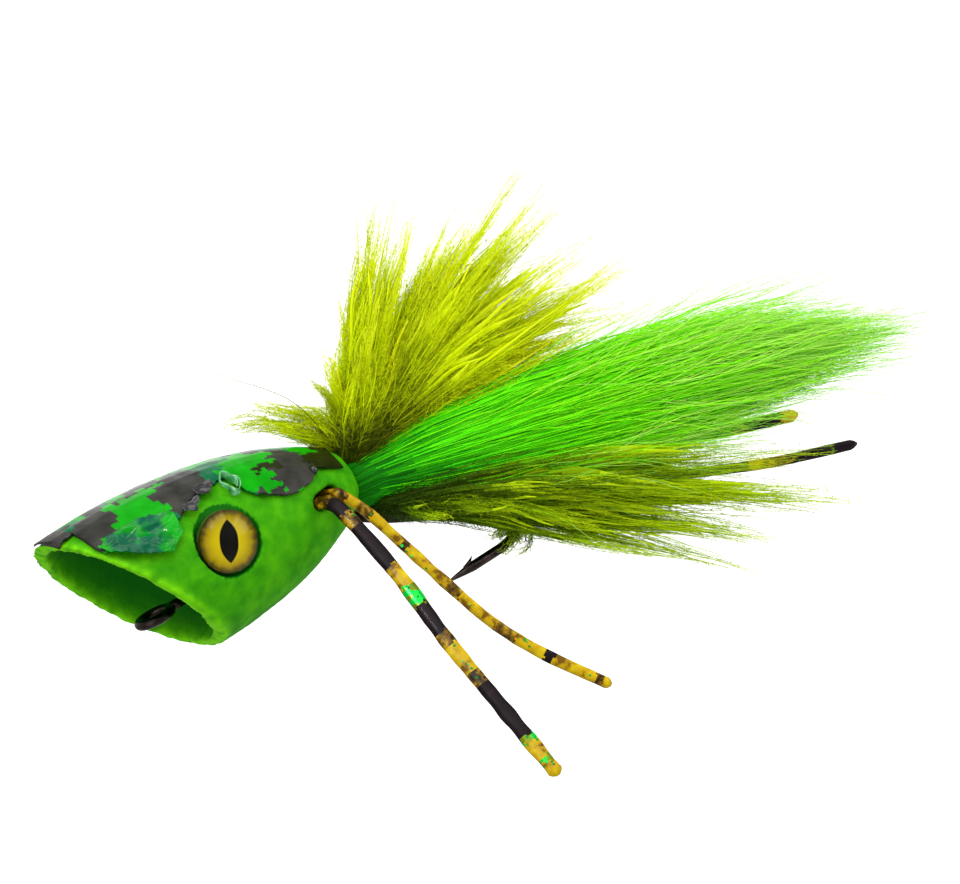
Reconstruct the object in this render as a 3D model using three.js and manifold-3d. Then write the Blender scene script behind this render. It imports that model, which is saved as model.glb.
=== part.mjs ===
// Topwater popper: a soft foam popper head on a long-shank hook, with a printed film back,
// domed eyes, rubber legs, a hair tail and marabou plumes.
// Millimetres. The origin is the centre of the hook eye, +X runs along the shank towards the
// tail, +Z is up and the lure's left side is -Y.

import * as THREE from 'three';
import { mergeVertices } from 'three/addons/utils/BufferGeometryUtils.js';
import Module from 'manifold-3d';

const wasm = await Module();
wasm.setup();

// ---------------------------------------------------------------- driving dimensions
const GAP = 0.3; // clearance between touching pieces

// hook
const WIRE_R = 0.52;
const HOOK_EYE_R = 1.65; // centreline radius of the ring
const SHANK_END = 35.8;
const BEND_R = 6.45; // half the gape, wire centre to wire centre
const POINT_X = 29.0;
const POINT_LENGTH = 3.2;

// head: centreline stations [x, radius, centre height]
const HEAD_STATIONS = [
  [-9.5, 8.45, 3.2],
  [-3, 8.65, 3.15],
  [2, 8.6, 3.05],
  [8, 8.15, 2.8],
  [13, 7.4, 2.5],
  [17, 6.3, 2.3],
  [20.8, 4.8, 2.1],
  [23, 3.6, 2.0],
];
const HEAD_END = 24.2;
const HEAD_END_R = 2.7;
const HEAD_SIDES = 40;
const MOUTH_CENTRE = [-1.4, 3.0]; // x, z on the lure's middle plane
const MOUTH_SLANT = THREE.MathUtils.degToRad(31.5); // upper lip leads the lower lip
const MOUTH_TURN = THREE.MathUtils.degToRad(7.5); // the face is cut out of square, towards the left side
const CUP_HALF_HEIGHT = 9.0;
const CUP_HALF_WIDTH = 7.75;
const CUP_DEPTH = 5.6;
const BORE_R = 1.7;

// printed film over the back
const FILM_GAP = 0.12;
const FILM_THICKNESS = 0.3;

// eyes
const EYE_X = 7.2;
const EYE_Z = 4.4;
const EYE_R = 3.05;
const SOCKET_R = 3.4;
const SOCKET_FLOOR = 7.0; // distance of the socket floor from the middle plane
const PAD_THICKNESS = 0.5;
const DISC_THICKNESS = 0.25;
const LENS_HEIGHT = 1.5;
const EYE_GAP = 0.12;

// legs
const LEG_X = 19.3; // middle of the cross hole
const LEG_Z = 2.3;
const LEG_PITCH = 1.9; // between the front and the rear strand
const LEG_EXIT = 5.6; // the hinge's distance from the middle plane
const LEG_HOLE_R = 0.85;

// thread
const BASE_R = 1.25;
const BASE_SPAN = [5.6, 22.5];
const COLLAR_R = 1.9;
const COLLAR_SPAN = [24.7, 26.3];

// tail hair stations [x, centre height, half height, half width]
const TAIL_STATIONS = [
  [26.7, 0.5, 2.0, 1.9],
  [33, -1.2, 4.3, 3.3],
  [44.3, -4.2, 6.0, 4.3],
  [56.5, -7.3, 6.9, 4.7],
  [68.4, -10.6, 6.9, 4.4],
  [80, -14.6, 5.0, 3.2],
  [87.5, -18, 1.4, 1.2],
];
const TAIL_SPLIT = 43.7; // the hook holds the hair in front of this station
const TAIL_GAP = 1.4; // room for the free hair to swing at the split

// ---------------------------------------------------------------- geometry helpers

// A closed three.js geometry as a manifold solid.
function solid(geometry) {
  const bare = geometry.clone();
  bare.deleteAttribute('normal');
  bare.deleteAttribute('uv');
  const merged = mergeVertices(bare, 1e-4);
  return new wasm.Manifold(
    new wasm.Mesh({
      numProp: 3,
      vertProperties: merged.attributes.position.array,
      triVerts: new Uint32Array(merged.index.array),
    }),
  );
}

// A manifold solid as a three.js geometry.
function geometryOf(body) {
  const mesh = body.getMesh();
  const geometry = new THREE.BufferGeometry();
  geometry.setAttribute('position', new THREE.Float32BufferAttribute(mesh.vertProperties, 3));
  geometry.setIndex(new THREE.Uint32BufferAttribute(mesh.triVerts, 1));
  geometry.computeVertexNormals();
  return geometry;
}

// Turns a lathe's +Y axis onto +X.
function alongX(geometry) {
  return geometry.rotateZ(-Math.PI / 2);
}

// Turns a cylinder's +Y axis onto +Z.
function alongZ(geometry) {
  return geometry.rotateX(Math.PI / 2);
}

// A ring of revolution about the shank from a closed list of [x, radius].
function ringAboutShank(outline, sides) {
  const points = [...outline, outline[0]].map(([x, radius]) => new THREE.Vector2(radius, x));
  return alongX(new THREE.LatheGeometry(points, sides));
}

// Moves every vertex by a function that changes the vector it is given.
function reshape(geometry, move) {
  const position = geometry.attributes.position;
  const vertex = new THREE.Vector3();
  for (let i = 0; i < position.count; i++) {
    move(vertex.fromBufferAttribute(position, i));
    position.setXYZ(i, vertex.x, vertex.y, vertex.z);
  }
  return geometry;
}

// The values after x of a station table, as smooth functions of x.
function stationCurve(stations) {
  const xs = stations.map((row) => row[0]);
  return (x) => {
    const at = Math.min(Math.max(x, xs[0]), xs[xs.length - 1]);
    let i = 0;
    while (i < xs.length - 2 && at > xs[i + 1]) i++;
    const t = (at - xs[i]) / (xs[i + 1] - xs[i]);
    const before = stations[Math.max(i - 1, 0)];
    const after = stations[Math.min(i + 2, stations.length - 1)];
    return stations[i].slice(1).map((value, k) => {
      const next = stations[i + 1][k + 1];
      const slopeIn = (next - before[k + 1]) / 2;
      const slopeOut = (after[k + 1] - value) / 2;
      const a = 2 * value - 2 * next + slopeIn + slopeOut;
      const b = -3 * value + 3 * next - 2 * slopeIn - slopeOut;
      return ((a * t + b) * t + slopeIn) * t + value;
    });
  };
}

// A strand of flattened section swept along a smooth curve through points.
function strand(points, width, thickness, steps) {
  const section = new THREE.Shape();
  const sides = 8;
  for (let i = 0; i < sides; i++) {
    const angle = (2 * Math.PI * (i + 0.5)) / sides;
    const x = (Math.cos(angle) * thickness) / 2;
    const y = (Math.sin(angle) * width) / 2;
    if (i === 0) section.moveTo(x, y);
    else section.lineTo(x, y);
  }
  section.closePath();
  const path = new THREE.CatmullRomCurve3(
    points.map((p) => new THREE.Vector3(...p)),
    false,
    'centripetal',
  );
  return new THREE.ExtrudeGeometry(section, { steps, bevelEnabled: false, extrudePath: path });
}

// A round wire of the hook's gauge along a smooth curve through points.
function wire(points, steps) {
  const section = new THREE.Shape();
  section.absarc(0, 0, WIRE_R, 0, 2 * Math.PI);
  const path = new THREE.CatmullRomCurve3(
    points.map((p) => new THREE.Vector3(...p)),
    false,
    'centripetal',
  );
  return new THREE.ExtrudeGeometry(section, {
    steps,
    curveSegments: 5,
    bevelEnabled: false,
    extrudePath: path,
  });
}

// An outline on the lure's side view, [x, z], given a thickness across the lure.
function sidePlate(outline, thickness, rounding) {
  const shape = new THREE.Shape(outline.map(([x, z]) => new THREE.Vector2(x, z)));
  const depth = thickness - 2 * rounding;
  const geometry = new THREE.ExtrudeGeometry(shape, {
    depth,
    bevelEnabled: rounding > 0,
    bevelThickness: rounding,
    bevelSize: rounding,
    bevelOffset: -rounding,
    bevelSegments: 3,
  });
  return geometry.translate(0, 0, -depth / 2).rotateX(Math.PI / 2);
}

const headAt = stationCurve(HEAD_STATIONS);
const tailAt = stationCurve(TAIL_STATIONS);

// ---------------------------------------------------------------- hook

// The ring, the shank, the round bend and the short run to the barbed point, as one wire.
function hookGeometry() {
  const ring = new THREE.TorusGeometry(HOOK_EYE_R, WIRE_R, 10, 28);
  const run = [[HOOK_EYE_R, 0, 0]];
  for (let x = 6; x < SHANK_END; x += 8) run.push([x, 0, 0]);
  for (let i = 0; i <= 8; i++) {
    const angle = (Math.PI * i) / 8;
    run.push([SHANK_END + BEND_R * Math.sin(angle), 0, -BEND_R + BEND_R * Math.cos(angle)]);
  }
  run.push([POINT_X + POINT_LENGTH, 0, -2 * BEND_R]);
  const shank = wire(run, 48);
  const point = new THREE.CylinderGeometry(0.06, WIRE_R, POINT_LENGTH + 0.4, 12)
    .rotateZ(Math.PI / 2)
    .translate(POINT_X + POINT_LENGTH / 2 + 0.2, 0, -2 * BEND_R);
  const barb = new THREE.CylinderGeometry(0.05, 0.3, 1.6, 6)
    .rotateZ(-Math.PI / 2)
    .rotateY(THREE.MathUtils.degToRad(-24))
    .translate(POINT_X + 2.3, 0, -2 * BEND_R + 0.55);
  return geometryOf(solid(ring).add(solid(shank)).add(solid(point)).add(solid(barb)));
}

// Turns of thread round the shank, over a span of x.
function wrapsGeometry([start, end], outer, turns) {
  const pitch = (end - start) / turns;
  const outline = [[start, WIRE_R + GAP]];
  for (let i = 0; i < turns; i++) {
    outline.push([start + pitch * i, outer - 0.15], [start + pitch * (i + 0.5), outer]);
  }
  outline.push([end, outer - 0.15], [end, WIRE_R + GAP]);
  return ringAboutShank(outline, 16);
}

// ---------------------------------------------------------------- head

// The head's outer form, grown by an offset, before the mouth is cut.
function headForm(offset) {
  const first = HEAD_STATIONS[0][0];
  const profile = [new THREE.Vector2(0, first)];
  const rings = 22;
  for (let i = 0; i <= rings; i++) {
    const x = first + ((HEAD_END - first) * i) / rings;
    const last = i === rings;
    const radius = last ? HEAD_END_R : headAt(x)[0];
    profile.push(new THREE.Vector2(radius + offset, x));
  }
  profile.push(new THREE.Vector2(0, HEAD_END));
  const form = alongX(new THREE.LatheGeometry(profile, HEAD_SIDES));
  return solid(reshape(form, (v) => (v.z += headAt(v.x)[1])));
}

// Slants, turns and moves a shape from the YZ plane to the mouth face.
function atMouth(geometry) {
  return geometry.rotateY(-MOUTH_SLANT).rotateZ(MOUTH_TURN).translate(MOUTH_CENTRE[0], 0, MOUTH_CENTRE[1]);
}

// Everything in front of the mouth face.
function mouthCutter() {
  return solid(atMouth(new THREE.BoxGeometry(30, 40, 40).translate(-15, 0, 0)));
}

// The hollow of the mouth, half an ellipsoid behind the mouth face.
function cupCutter() {
  const cup = new THREE.SphereGeometry(1, 30, 20).scale(CUP_DEPTH, CUP_HALF_WIDTH, CUP_HALF_HEIGHT);
  return solid(atMouth(cup));
}

function foamBody() {
  const bore = alongX(new THREE.CylinderGeometry(BORE_R, BORE_R, 60, 24));
  const crossHole = new THREE.Shape();
  const half = LEG_PITCH / 2;
  crossHole.absarc(half, 0, LEG_HOLE_R, -Math.PI / 2, Math.PI / 2);
  crossHole.absarc(-half, 0, LEG_HOLE_R, Math.PI / 2, (3 * Math.PI) / 2);
  const cross = new THREE.ExtrudeGeometry(crossHole, {
    depth: 30,
    bevelEnabled: false,
    curveSegments: 8,
  });
  cross.translate(0, 0, -15).rotateX(Math.PI / 2).translate(LEG_X, 0, LEG_Z);
  let body = headForm(0).subtract(mouthCutter()).subtract(cupCutter());
  body = body.subtract(solid(bore)).subtract(solid(cross));
  for (const side of [-1, 1]) {
    const socket = new THREE.CylinderGeometry(SOCKET_R, SOCKET_R, 6, 40);
    socket.translate(EYE_X, side * (SOCKET_FLOOR + 3), EYE_Z);
    body = body.subtract(solid(socket));
  }
  return geometryOf(body);
}

// The film's outline in side view, from the upper lip over the back to the tail end.
const FILM_OUTLINE = [
  [-12, 16],
  [-7.5, 11.2],
  [-4.3, 11.0],
  [-3.8, 9.7],
  [0.1, 7.5],
  [1.2, 7.4],
  [4.4, 8.8],
  [6, 9.4],
  [11.2, 9.0],
  [11.7, 7.5],
  [12.5, 6.2],
  [15.5, 4.7],
  [18.8, 4.6],
  [20.2, 5.6],
  [22.4, 3.9],
  [24.6, 4.4],
  [26, 16],
];

// A thin shell over the back, between two offsets of the head's form.
function filmGeometry() {
  const shell = headForm(FILM_GAP + FILM_THICKNESS).subtract(headForm(FILM_GAP));
  const region = solid(sidePlate(FILM_OUTLINE, 40, 0));
  const lip = mouthCutter().translate(0.5, 0, 0);
  const tailEnd = solid(new THREE.BoxGeometry(10, 20, 20).translate(HEAD_END + 4.8, 0, 3));
  return geometryOf(shell.intersect(region).subtract(lip).subtract(tailEnd));
}

// ---------------------------------------------------------------- eyes

// A disc across the lure's width, starting a distance from the middle plane on one side.
function eyeDisc(side, start, thickness) {
  const disc = new THREE.CylinderGeometry(EYE_R, EYE_R, thickness, 40);
  return disc.translate(0, side * (start + thickness / 2), 0);
}

// The clear domed lens: a flat base, a short wall and a round crown.
function lensGeometry(side, start) {
  const wall = 0.35;
  const profile = [new THREE.Vector2(0, 0), new THREE.Vector2(EYE_R, 0)];
  const rings = 8;
  for (let i = 0; i <= rings; i++) {
    const angle = (Math.PI / 2) * (i / rings);
    const rise = wall + (LENS_HEIGHT - wall) * Math.sin(angle);
    profile.push(new THREE.Vector2(i === rings ? 0 : EYE_R * Math.cos(angle), rise));
  }
  const lens = new THREE.LatheGeometry(profile, 40);
  if (side < 0) lens.rotateX(Math.PI);
  return lens.translate(0, side * start, 0);
}

// ---------------------------------------------------------------- hair and feathers

// A bundle of hair between two stations of the tail, as an elliptical loft along x.
function tailForm(start, end) {
  const rings = 14;
  const form = alongX(new THREE.CylinderGeometry(1, 1, 1, 20, rings));
  return solid(
    reshape(form, (v) => {
      const x = start + (v.x + 0.5) * (end - start);
      const [height, halfHeight, halfWidth] = tailAt(x);
      v.set(x, v.y * halfWidth, height + v.z * halfHeight);
    }),
  );
}

// The hair bound over the hook, with a slot that holds the shank and the bend.
function tailBaseGeometry() {
  const slotHalf = WIRE_R + GAP;
  const slot = sidePlate(
    [
      [20, slotHalf],
      [SHANK_END + 2.2, slotHalf],
      [TAIL_SPLIT, -2],
      [TAIL_SPLIT, -30],
      [20, -30],
    ],
    2 * slotHalf,
    0,
  );
  return geometryOf(tailForm(TAIL_STATIONS[0][0], TAIL_SPLIT - TAIL_GAP / 2).subtract(solid(slot)));
}

function tailHairGeometry() {
  const tip = TAIL_STATIONS[TAIL_STATIONS.length - 1][0];
  return geometryOf(tailForm(TAIL_SPLIT + TAIL_GAP / 2, tip));
}

// The upper plume fans up and back from the collar.
const UPPER_PLUME = [
  [24.8, 2.7],
  [25.0, 4.9],
  [26.2, 9.6],
  [30.5, 12.6],
  [35, 16.2],
  [40, 18.2],
  [47, 16.4],
  [54, 15.2],
  [57.5, 11.5],
  [59, 5.2],
  [60, 2.2],
  [50, 3.4],
  [40, 4.2],
  [33, 4.3],
  [27.5, 3.6],
];

// The forward tuft of short barbs leans over the end of the film.
const FRONT_TUFT = [
  [22.2, 7.2],
  [19.6, 8.0],
  [16.8, 11.2],
  [17.6, 13.2],
  [20.2, 12.0],
  [22.8, 12.2],
  [22.8, 8],
];

// Each half of the lower plume trails under the tail on its own side of the hook.
const LOWER_PLUME = [
  [26.8, -2.9],
  [26.8, -4.9],
  [32, -9.2],
  [39, -12.4],
  [46, -16],
  [55, -21.4],
  [66, -24.6],
  [74, -27.2],
  [75.5, -24.6],
  [66, -19.6],
  [56, -16.2],
  [47, -12.9],
  [38, -9.3],
  [31.5, -5.9],
];
const PLUME_THICKNESS = 8;
const TUFT_THICKNESS = 6;
const LOWER_HALF_THICKNESS = 3.4;
const LOWER_HALF_OFFSET = 2.7; // middle of each half from the middle plane

// ---------------------------------------------------------------- legs

// Each free strand, from the cross hole to its tip, for the side it is drawn on.
const LEGS = {
  leg_left_front: {
    strand: -1,
    width: 1.6,
    thickness: 0.8,
    points: [
      [0.2, -6.9, -0.1],
      [0.3, -9.2, -1.4],
      [0.2, -14.5, -8.2],
      [-0.6, -19.5, -14.3],
      [-0.9, -24.5, -20.8],
      [-1.1, -30, -28.2],
    ],
  },
  leg_left_rear: {
    strand: 1,
    width: 1.2,
    thickness: 0.8,
    points: [
      [0, -6.4, -0.1],
      [1.3, -7.2, -2.6],
      [2.4, -8.8, -6.6],
      [3.5, -11.5, -11.6],
      [4.9, -14.2, -16.9],
      [7.1, -16.8, -21.6],
      [10.7, -20, -27.1],
    ],
  },
  leg_right_front: {
    strand: -1,
    width: 1.2,
    thickness: 0.8,
    points: [
      [0.4, 6.9, -0.1],
      [8, 8.6, -4.2],
      [17, 9.8, -7.8],
      [26.5, 11, -11.4],
      [37, 12.6, -15.8],
      [50, 14.6, -20.3],
      [65, 17.4, -25.6],
    ],
  },
  leg_right_rear: {
    strand: 1,
    width: 1.2,
    thickness: 0.8,
    points: [
      [0.3, 6.4, -0.3],
      [6, 7, -6],
      [14, 7.8, -10.4],
      [22, 8.4, -13.7],
      [36.3, 9.9, -19],
      [53.6, 13, -26.6],
      [67, 15.2, -31.4],
    ],
  },
};

const legX = (which) => LEG_X + (which * LEG_PITCH) / 2;

function legGeometry({ strand: which, width, thickness, points }) {
  const side = Math.sign(points[0][1]);
  const root = [legX(which), side * (LEG_EXIT + GAP / 2), LEG_Z];
  const path = [root, ...points.map(([x, y, z]) => [legX(which) + x, y, LEG_Z + z])];
  return strand(path, width, thickness, 30);
}

// The stretch of one strand that lies inside the head.
function legCoreGeometry(which) {
  const end = LEG_EXIT - GAP / 2;
  const core = new THREE.CylinderGeometry(0.45, 0.45, 2 * end, 10);
  return core.translate(legX(which), 0, LEG_Z);
}

// ---------------------------------------------------------------- assembly

const FINISH = {
  blackNickel: { color: 0x1d1916, roughness: 0.25, metalness: 0.9 },
  thread: { color: 0x3f8a12, roughness: 0.8, metalness: 0 },
  foam: { color: 0x3ca00a, roughness: 0.7, metalness: 0 },
  film: { color: 0x23602a, roughness: 0.2, metalness: 0.1 },
  pad: { color: 0x1d5a0c, roughness: 0.8, metalness: 0 },
  iris: { color: 0xd9a616, roughness: 0.3, metalness: 0.2 },
  lens: { color: 0xf4e8b8, roughness: 0.05, metalness: 0 },
  hair: { color: 0x4fdc0a, roughness: 0.5, metalness: 0 },
  upperMarabou: { color: 0xaac800, roughness: 0.8, metalness: 0 },
  lowerMarabou: { color: 0x7c9a06, roughness: 0.8, metalness: 0 },
  silicone: { color: 0xd7a510, roughness: 0.4, metalness: 0 },
};

const popper = new THREE.Group();

function piece(name, geometry, finish, place = [0, 0, 0]) {
  const mesh = new THREE.Mesh(geometry, new THREE.MeshStandardMaterial(finish));
  mesh.name = name;
  mesh.position.set(...place);
  popper.add(mesh);
}

piece('hook', hookGeometry(), FINISH.blackNickel);
piece('thread_base', wrapsGeometry(BASE_SPAN, BASE_R, 12), FINISH.thread);
piece('foam_body', foamBody(), FINISH.foam);
piece('back_film', filmGeometry(), FINISH.film);

for (const [name, side] of [['left', -1], ['right', 1]]) {
  const place = [EYE_X, 0, EYE_Z];
  const padStart = SOCKET_FLOOR + EYE_GAP;
  const discStart = padStart + PAD_THICKNESS + EYE_GAP;
  const lensStart = discStart + DISC_THICKNESS + EYE_GAP;
  piece(`eye_pad_${name}`, eyeDisc(side, padStart, PAD_THICKNESS), FINISH.pad, place);
  piece(`eye_disc_${name}`, eyeDisc(side, discStart, DISC_THICKNESS), FINISH.iris, place);
  piece(`eye_lens_${name}`, lensGeometry(side, lensStart), FINISH.lens, place);
}

piece('collar_thread', wrapsGeometry(COLLAR_SPAN, COLLAR_R, 3), FINISH.thread);
piece('tail_base', tailBaseGeometry(), FINISH.hair);
piece('tail_hair', tailHairGeometry(), FINISH.hair);
piece('upper_marabou', sidePlate(UPPER_PLUME, PLUME_THICKNESS, 0.8), FINISH.upperMarabou);
piece('front_tuft', sidePlate(FRONT_TUFT, TUFT_THICKNESS, 0.4), FINISH.upperMarabou);
for (const [name, side] of [['left', -1], ['right', 1]]) {
  const half = sidePlate(LOWER_PLUME, LOWER_HALF_THICKNESS, 0.5);
  piece(`lower_marabou_${name}`, half, FINISH.lowerMarabou, [0, side * LOWER_HALF_OFFSET, 0]);
}

piece('leg_core_front', legCoreGeometry(-1), FINISH.silicone);
piece('leg_core_rear', legCoreGeometry(1), FINISH.silicone);
for (const [name, leg] of Object.entries(LEGS)) piece(name, legGeometry(leg), FINISH.silicone);

export default popper;
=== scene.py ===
"""Looks of a topwater popper fly: foam head with a film back, eyes, hook, legs and a fibre tail."""

import math

import bpy
import numpy as np
from mathutils import Matrix, Vector, noise
from mathutils.bvhtree import BVHTree


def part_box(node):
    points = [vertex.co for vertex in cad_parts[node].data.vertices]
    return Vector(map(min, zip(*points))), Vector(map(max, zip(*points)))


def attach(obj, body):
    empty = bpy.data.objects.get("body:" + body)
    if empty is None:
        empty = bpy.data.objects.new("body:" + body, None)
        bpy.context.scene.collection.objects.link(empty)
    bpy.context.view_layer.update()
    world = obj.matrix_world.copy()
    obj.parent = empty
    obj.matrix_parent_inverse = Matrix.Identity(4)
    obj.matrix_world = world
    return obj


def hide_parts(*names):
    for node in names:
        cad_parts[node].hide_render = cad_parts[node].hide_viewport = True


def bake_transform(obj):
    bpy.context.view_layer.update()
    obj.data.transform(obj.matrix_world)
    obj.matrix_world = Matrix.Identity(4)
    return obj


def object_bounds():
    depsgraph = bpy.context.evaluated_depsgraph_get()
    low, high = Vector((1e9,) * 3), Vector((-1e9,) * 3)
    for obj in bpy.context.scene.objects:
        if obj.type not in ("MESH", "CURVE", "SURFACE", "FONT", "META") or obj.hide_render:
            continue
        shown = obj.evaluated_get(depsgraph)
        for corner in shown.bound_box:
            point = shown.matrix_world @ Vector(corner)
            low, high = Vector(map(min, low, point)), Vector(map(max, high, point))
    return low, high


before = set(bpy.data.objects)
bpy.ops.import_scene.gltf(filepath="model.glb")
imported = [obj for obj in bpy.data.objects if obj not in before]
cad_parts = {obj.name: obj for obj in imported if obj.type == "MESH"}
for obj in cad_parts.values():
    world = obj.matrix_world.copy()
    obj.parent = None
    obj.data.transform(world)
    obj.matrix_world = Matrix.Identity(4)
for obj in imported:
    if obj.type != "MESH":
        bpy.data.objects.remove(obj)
CAD_BOX = [list(corner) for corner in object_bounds()]

# Every size below is in millimetres, in the CAD frame: X runs back from the line eye and Z is up.
MM = 0.001
LEFT = -1  # the side of the left legs and eye, towards -Y
RIGHT = 1

# Camera: where it looks, how far off it stands, and how it is turned.
CAMERA_TARGET = (32.21, -14.84, 1.30)
CAMERA_DISTANCE = 400.0
CAMERA_AZIMUTH = -25.22
CAMERA_ELEVATION = 12.88
CAMERA_ROLL = -26.15
CAMERA_LENS = 156.0
SENSOR_WIDTH = 36.0

# Head: centre height of its sections, and the foam's finish.
HEAD_CENTRE_X = (-9.5, 2.0, 8.0, 13.0, 17.0, 20.8, 24.2)
HEAD_CENTRE_Z = (3.2, 3.05, 2.8, 2.5, 2.3, 2.1, 2.0)
HEAD_SCALE = 8.6  # radius that turns an angle round the head into a length along the film
MOUTH_CENTRE = (-1.4, 0.0, 3.0)
MOUTH_INWARD = (0.845, 0.111, 0.522)  # square to the mouth's face, into the head
SOCKET_SHADE_RADIUS = 3.55
FOAM_VOXEL = 0.24

# Film: its lower edge on either side as (x, degrees from the top), and the camouflage cell.
FILM_EDGE = (
    (-6.8, 8), (-6.5, 20), (-5.7, 18), (-4.4, 16), (-4.3, 38), (-3.8, 46), (-1.2, 57),
    (0.1, 62), (1.2, 63), (4.4, 50), (5.9, 43), (7.9, 39), (9.8, 36), (11.3, 36),
    (11.8, 53), (12.6, 60), (15.5, 70), (16.8, 71), (19.0, 66), (20.0, 54), (21.1, 59), (23.2, 66),
)
FILM_STEP = 0.15
FILM_LIFT = (0.15, 0.34)  # underside and top side above the foam
CAMO_CELL = 0.9
CHARCOAL, BRIGHT, TEAL, OLIVE = range(4)
# Blocks of the camouflage on the left side: colour, x from and to, distance down from the top.
CAMO_BLOCKS = (
    (CHARCOAL, -7.2, -4.7, -3.0, 3.2), (CHARCOAL, -4.7, 0.0, 1.5, 4.2),
    (CHARCOAL, -4.7, -3.2, 4.2, 7.5), (BRIGHT, 0.0, 4.1, 1.7, 7.5),
    (BRIGHT, -1.4, 0.0, 4.2, 5.4), (BRIGHT, 4.1, 5.4, 1.4, 3.0),
    (CHARCOAL, 4.1, 9.5, 3.0, 7.0), (CHARCOAL, 5.4, 9.5, 0.5, 3.0),
    (BRIGHT, 5.6, 6.8, 4.4, 6.2), (TEAL, 9.5, 11.2, 0.9, 5.6),
    (TEAL, 11.2, 12.1, 0.9, 3.4), (BRIGHT, 11.2, 13.9, 3.4, 9.0),
    (BRIGHT, 12.1, 17.1, 1.8, 4.8), (OLIVE, 13.9, 17.1, 4.8, 6.4),
    (BRIGHT, 13.9, 15.4, 6.4, 7.9), (CHARCOAL, 15.4, 19.4, 6.4, 11.0),
    (CHARCOAL, 17.1, 19.4, 2.6, 6.4), (BRIGHT, 19.4, 21.6, -2.0, 4.6),
    (OLIVE, 19.4, 24.0, 4.6, 11.0), (OLIVE, 21.6, 24.0, -2.0, 4.6),
)
FLAKE_UPPER = ((-4.1, 41), (-1.9, 39), (0.2, 39), (2.3, 41), (4.0, 46))
FLAKE_LOWER = ((-4.1, 42), (-3.4, 49), (-1.2, 60), (1.4, 68), (3.4, 61), (4.0, 47))
CURL_PLACE = (10.8, 43.0)
BEAD_PLACE = (19.7, 57.0)

# Eyes.
PUPIL_TILT = math.radians(23)  # the slit leans back from upright
PUPIL_HALF = (0.98, 2.1)  # half width and half height
EYE_SEGMENTS = 144
EYE_RINGS = 40

# Hook: round wire with a closed eye, a round bend, and a barbed point.
WIRE_RADIUS = 0.52
HOOK_EYE_RADIUS = 1.65
SHANK_END = 35.8
BEND_RADIUS = 6.45
POINT_X = 29.0
POINT_LENGTH = 3.4
BARB_X = 31.6

# Legs: (x of the hole, width, route from the hole at height LEG_Z).
LEG_Z = 2.3
LEG_FRONT_X = 18.35
LEG_REAR_X = 20.25
LEG_INSIDE = 4.6
LEG_THICKNESS = 0.8
LEGS = {
    "left_front": (LEG_FRONT_X, 1.6, (
        (0.2, -6.9, -0.1), (0.3, -9.2, -1.4), (0.2, -14.5, -8.2), (-0.6, -19.5, -14.3),
        (-0.9, -24.5, -20.8), (-1.1, -30.0, -28.2))),
    "left_rear": (LEG_REAR_X, 1.2, (
        (0.0, -6.4, -0.1), (1.3, -7.2, -2.6), (2.4, -8.8, -6.6), (3.5, -11.5, -11.6),
        (4.9, -14.2, -16.9), (7.1, -16.8, -21.6), (10.7, -20.0, -27.1))),
    "right_front": (LEG_FRONT_X, 1.6, (
        (0.4, 6.9, -0.1), (8.0, 8.6, -4.2), (17.0, 9.8, -7.8), (26.5, 11.0, -11.4),
        (37.0, 12.6, -15.8), (50.0, 14.6, -20.3), (65.0, 17.4, -25.6))),
    "right_rear": (LEG_REAR_X, 1.2, (
        (0.3, 6.4, -0.3), (6.0, 7.0, -6.0), (14.0, 7.8, -10.4), (22.0, 8.4, -13.7),
        (36.3, 9.9, -19.0), (53.6, 13.0, -26.6), (67.0, 15.2, -31.4))),
}
# Glitter flakes set into each leg.
FLAKE_COUNT = {"left_front": 26, "left_rear": 10, "right_front": 46, "right_rear": 46}
GOLD, BROWN, BLACK, SPECK, GLITTER = range(5)
# Bars of each leg: the share of its length where a colour starts, and that colour.
LEG_BARS = {
    "left_front": ((0.0, BROWN), (0.07, BLACK), (0.13, BROWN), (0.17, BLACK), (0.31, GOLD),
                   (0.38, GLITTER), (0.44, BLACK), (0.53, BROWN), (0.57, GOLD), (0.66, BROWN),
                   (0.70, BLACK), (0.87, GLITTER), (0.89, GOLD), (0.94, GLITTER), (0.96, GOLD)),
    "left_rear": ((0.0, BROWN), (0.07, GOLD), (0.12, BROWN), (0.16, GOLD), (0.27, BROWN), (0.30, GOLD),
                  (0.45, BROWN), (0.50, GOLD), (0.63, BROWN), (0.70, GOLD), (0.79, BLACK),
                  (0.82, GOLD), (0.95, BROWN), (0.97, GOLD)),
    "right_front": ((0.0, GOLD), (0.10, BLACK), (0.18, SPECK), (0.30, BLACK), (0.40, SPECK),
                    (0.48, BLACK), (0.56, SPECK), (0.64, BLACK), (0.72, SPECK), (0.80, BLACK),
                    (0.86, BROWN), (0.89, BLACK), (0.96, GOLD)),
    "right_rear": ((0.0, GOLD), (0.10, BLACK), (0.20, SPECK), (0.38, BLACK), (0.42, SPECK),
                   (0.55, BLACK), (0.59, SPECK), (0.76, BLACK), (0.79, GOLD), (0.83, BROWN),
                   (0.87, BLACK), (0.93, SPECK), (0.95, BLACK)),
}

# Tail: x, centre height, half height and half width of the hair bundle.
TAIL_STATIONS = (
    (24.4, 0.7, 2.3, 2.3), (26.7, 0.4, 2.6, 2.4), (33.0, -1.2, 4.4, 3.4), (44.3, -4.2, 6.1, 4.3),
    (56.5, -7.5, 6.5, 4.6), (68.4, -10.8, 6.1, 4.4), (80.0, -14.3, 4.4, 3.4), (92.0, -18.4, 2.2, 2.0),
)
TAIL_ROOT = 23.8  # just inside the foam's rear face
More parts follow.
